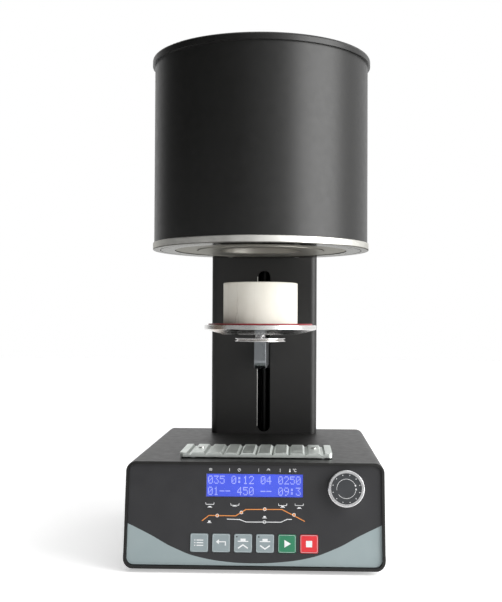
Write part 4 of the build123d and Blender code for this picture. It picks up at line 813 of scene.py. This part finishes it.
figures = {
    "0": "01110 10001 10011 10101 11001 10001 01110",
    "1": "00100 01100 00100 00100 00100 00100 01110",
    "2": "01110 10001 00001 00010 00100 01000 11111",
    "3": "11111 00010 00100 00010 00001 10001 01110",
    "4": "00010 00110 01010 10010 11111 00010 00010",
    "5": "11111 10000 11110 00001 00001 10001 01110",
    "9": "01110 10001 10001 01111 00001 00010 01100",
    ":": "00000 01100 01100 00000 01100 01100 00000",
    "-": "00000 00000 00000 11111 00000 00000 00000",
    " ": "",
}


def lit(name, colour, low, high):
    """Glowing face with a slightly uneven back light."""
    glow_grain, deep_share = 30 * MM, 0.92
    made, tree, shader, coordinates = finish_of(name, colour, 0.3)
    cloud = mottle(tree, coordinates, glow_grain, 2.0)
    feed(tree, shader.inputs["Emission Strength"], spread(tree, cloud, low, high))
    deep = tuple(c * deep_share for c in colour)
    feed(tree, shader.inputs["Emission Color"], blend_colours(tree, cloud, deep, colour))
    return made


def draw_glass(bm):
    """The lit sheet behind the figures."""
    slab(bm, -glass_width / 2, glass_up - glass_height / 2, glass_width, glass_height,
         -glass_depth, -glass_depth + glass_thick)


def draw_figures(bm):
    """Both rows of the display, dot by dot."""
    dot_low = -glass_depth + glass_thick
    for row, text in enumerate(display_rows):
        top = glass_up + first_row_up - row * row_step
        for place, sign in enumerate(text):
            left = -glass_width / 2 + figure_inset + place * figure_step
            for down, dots in enumerate(figures[sign].split()):
                for across, dot in enumerate(dots):
                    if dot == "1":
                        x, y = left + across * dot_step_across, top - down * dot_step_down
                        slab(bm, x, y - dot_tall, dot_wide, dot_tall, dot_low, dot_low + dot_thick)


glass_blue = lit("glass_blue", (0.052, 0.082, 0.52), 0.9, 1.05)
dot_pale = lit("dot_pale", (0.30, 0.33, 0.66), 0.9, 1.05)
laid("display_glass", panel_frame, glass_blue, "root", draw_glass)
laid("display_figures", panel_frame, dot_pale, "root", draw_figures)

# Pivot spring: steel wire wound a little over three turns, between support disc and lift plate.
# The real spring shortens as the plate floats down, but this coil is built at one length and rides with the
# lift.
spring_low, spring_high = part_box("pivot_spring")
spring_axis = (spring_low + spring_high) / 2
spring_wire, spring_turns, wire_sides, turn_steps = 1.3 * MM, 3.2, 10, 30
spring_reach = (spring_high.x - spring_low.x) / 2 - spring_wire / 2
spring_climb = spring_high.z - spring_low.z - spring_wire
spring_count = int(spring_turns * turn_steps)
wire_turns = [2 * math.pi * k / wire_sides for k in range(wire_sides)]
spring_bm = bmesh.new()
spring_rings = []
for step in range(spring_count + 1):
    turn = 2 * math.pi * step / turn_steps
    height = spring_low.z + spring_wire / 2 + spring_climb * step / spring_count
    out = Vector((math.cos(turn), math.sin(turn), 0.0))
    middle = Vector((spring_axis.x, spring_axis.y, height)) + out * spring_reach
    spring_rings.append([
        spring_bm.verts.new(middle + (out * math.cos(a) + Vector((0, 0, math.sin(a)))) * spring_wire / 2)
        for a in wire_turns
    ])
for near, far in zip(spring_rings, spring_rings[1:]):
    skin(spring_bm, near, far)
spring_bm.faces.new(spring_rings[0])
spring_bm.faces.new(spring_rings[-1][::-1])
bmesh.ops.recalc_face_normals(spring_bm, faces=spring_bm.faces)
for face in spring_bm.faces:
    face.smooth = True
spring_mesh = bpy.data.meshes.new("pivot_coil")
spring_bm.to_mesh(spring_mesh)
spring_bm.free()
spring_mesh.materials.append(brushed_metal("coil_steel", (0.78, 0.78, 0.79), 0.15, 0.22, along_z))
pivot_coil = placed("pivot_coil", spring_mesh)
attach(pivot_coil, "lift")
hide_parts("pivot_spring")
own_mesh(pivot_coil)

# Ring screws: eight countersunk heads with a round recess, in the head ring's underside.
# They are dull zinc, a hair proud of the ring, and hold it to the vessel above.
ring_screw_zinc = brushed_metal("ring_screw_zinc", (0.32, 0.32, 0.31), 0.4, 0.5, along_x)
ring_under = Matrix.Translation((head_axis.x, head_axis.y, ring_low.z))
ring_screw_count, ring_screw_circle, ring_screw_turn = 8, 110.0, 22.5
ring_screw_radius, ring_screw_bevel, ring_screw_recess, ring_screw_sides = 2.9, 0.3, 1.3, 24
ring_screw_root, ring_screw_edge, ring_screw_face = 0.1, -0.03, -0.07
ring_screw_profile = (
    (ring_screw_radius, ring_screw_root),
    (ring_screw_radius, ring_screw_edge),
    (ring_screw_radius - ring_screw_bevel, ring_screw_face),
    (ring_screw_recess, ring_screw_face),
    (ring_screw_recess, ring_screw_root),
)


def draw_ring_screw(bm):
    """A shallow bevelled head with a round recess."""
    last_turn = 360 - 360 / ring_screw_sides
    rings = []
    for radius, height in ring_screw_profile:
        points = arc(0, 0, radius, 0, last_turn, ring_screw_sides - 1)
        rings.append([bm.verts.new((x, y, height)) for x, y in points])
    for near, far in zip(rings, rings[1:]):
        skin(bm, near, far)
    bm.faces.new(rings[0])
    bm.faces.new(rings[-1])


repeated_round("ring_screws", slip_mesh("ring_screw", draw_ring_screw), ring_screw_count, ring_screw_circle,
               ring_screw_turn, ring_screw_zinc, ring_under, "root")
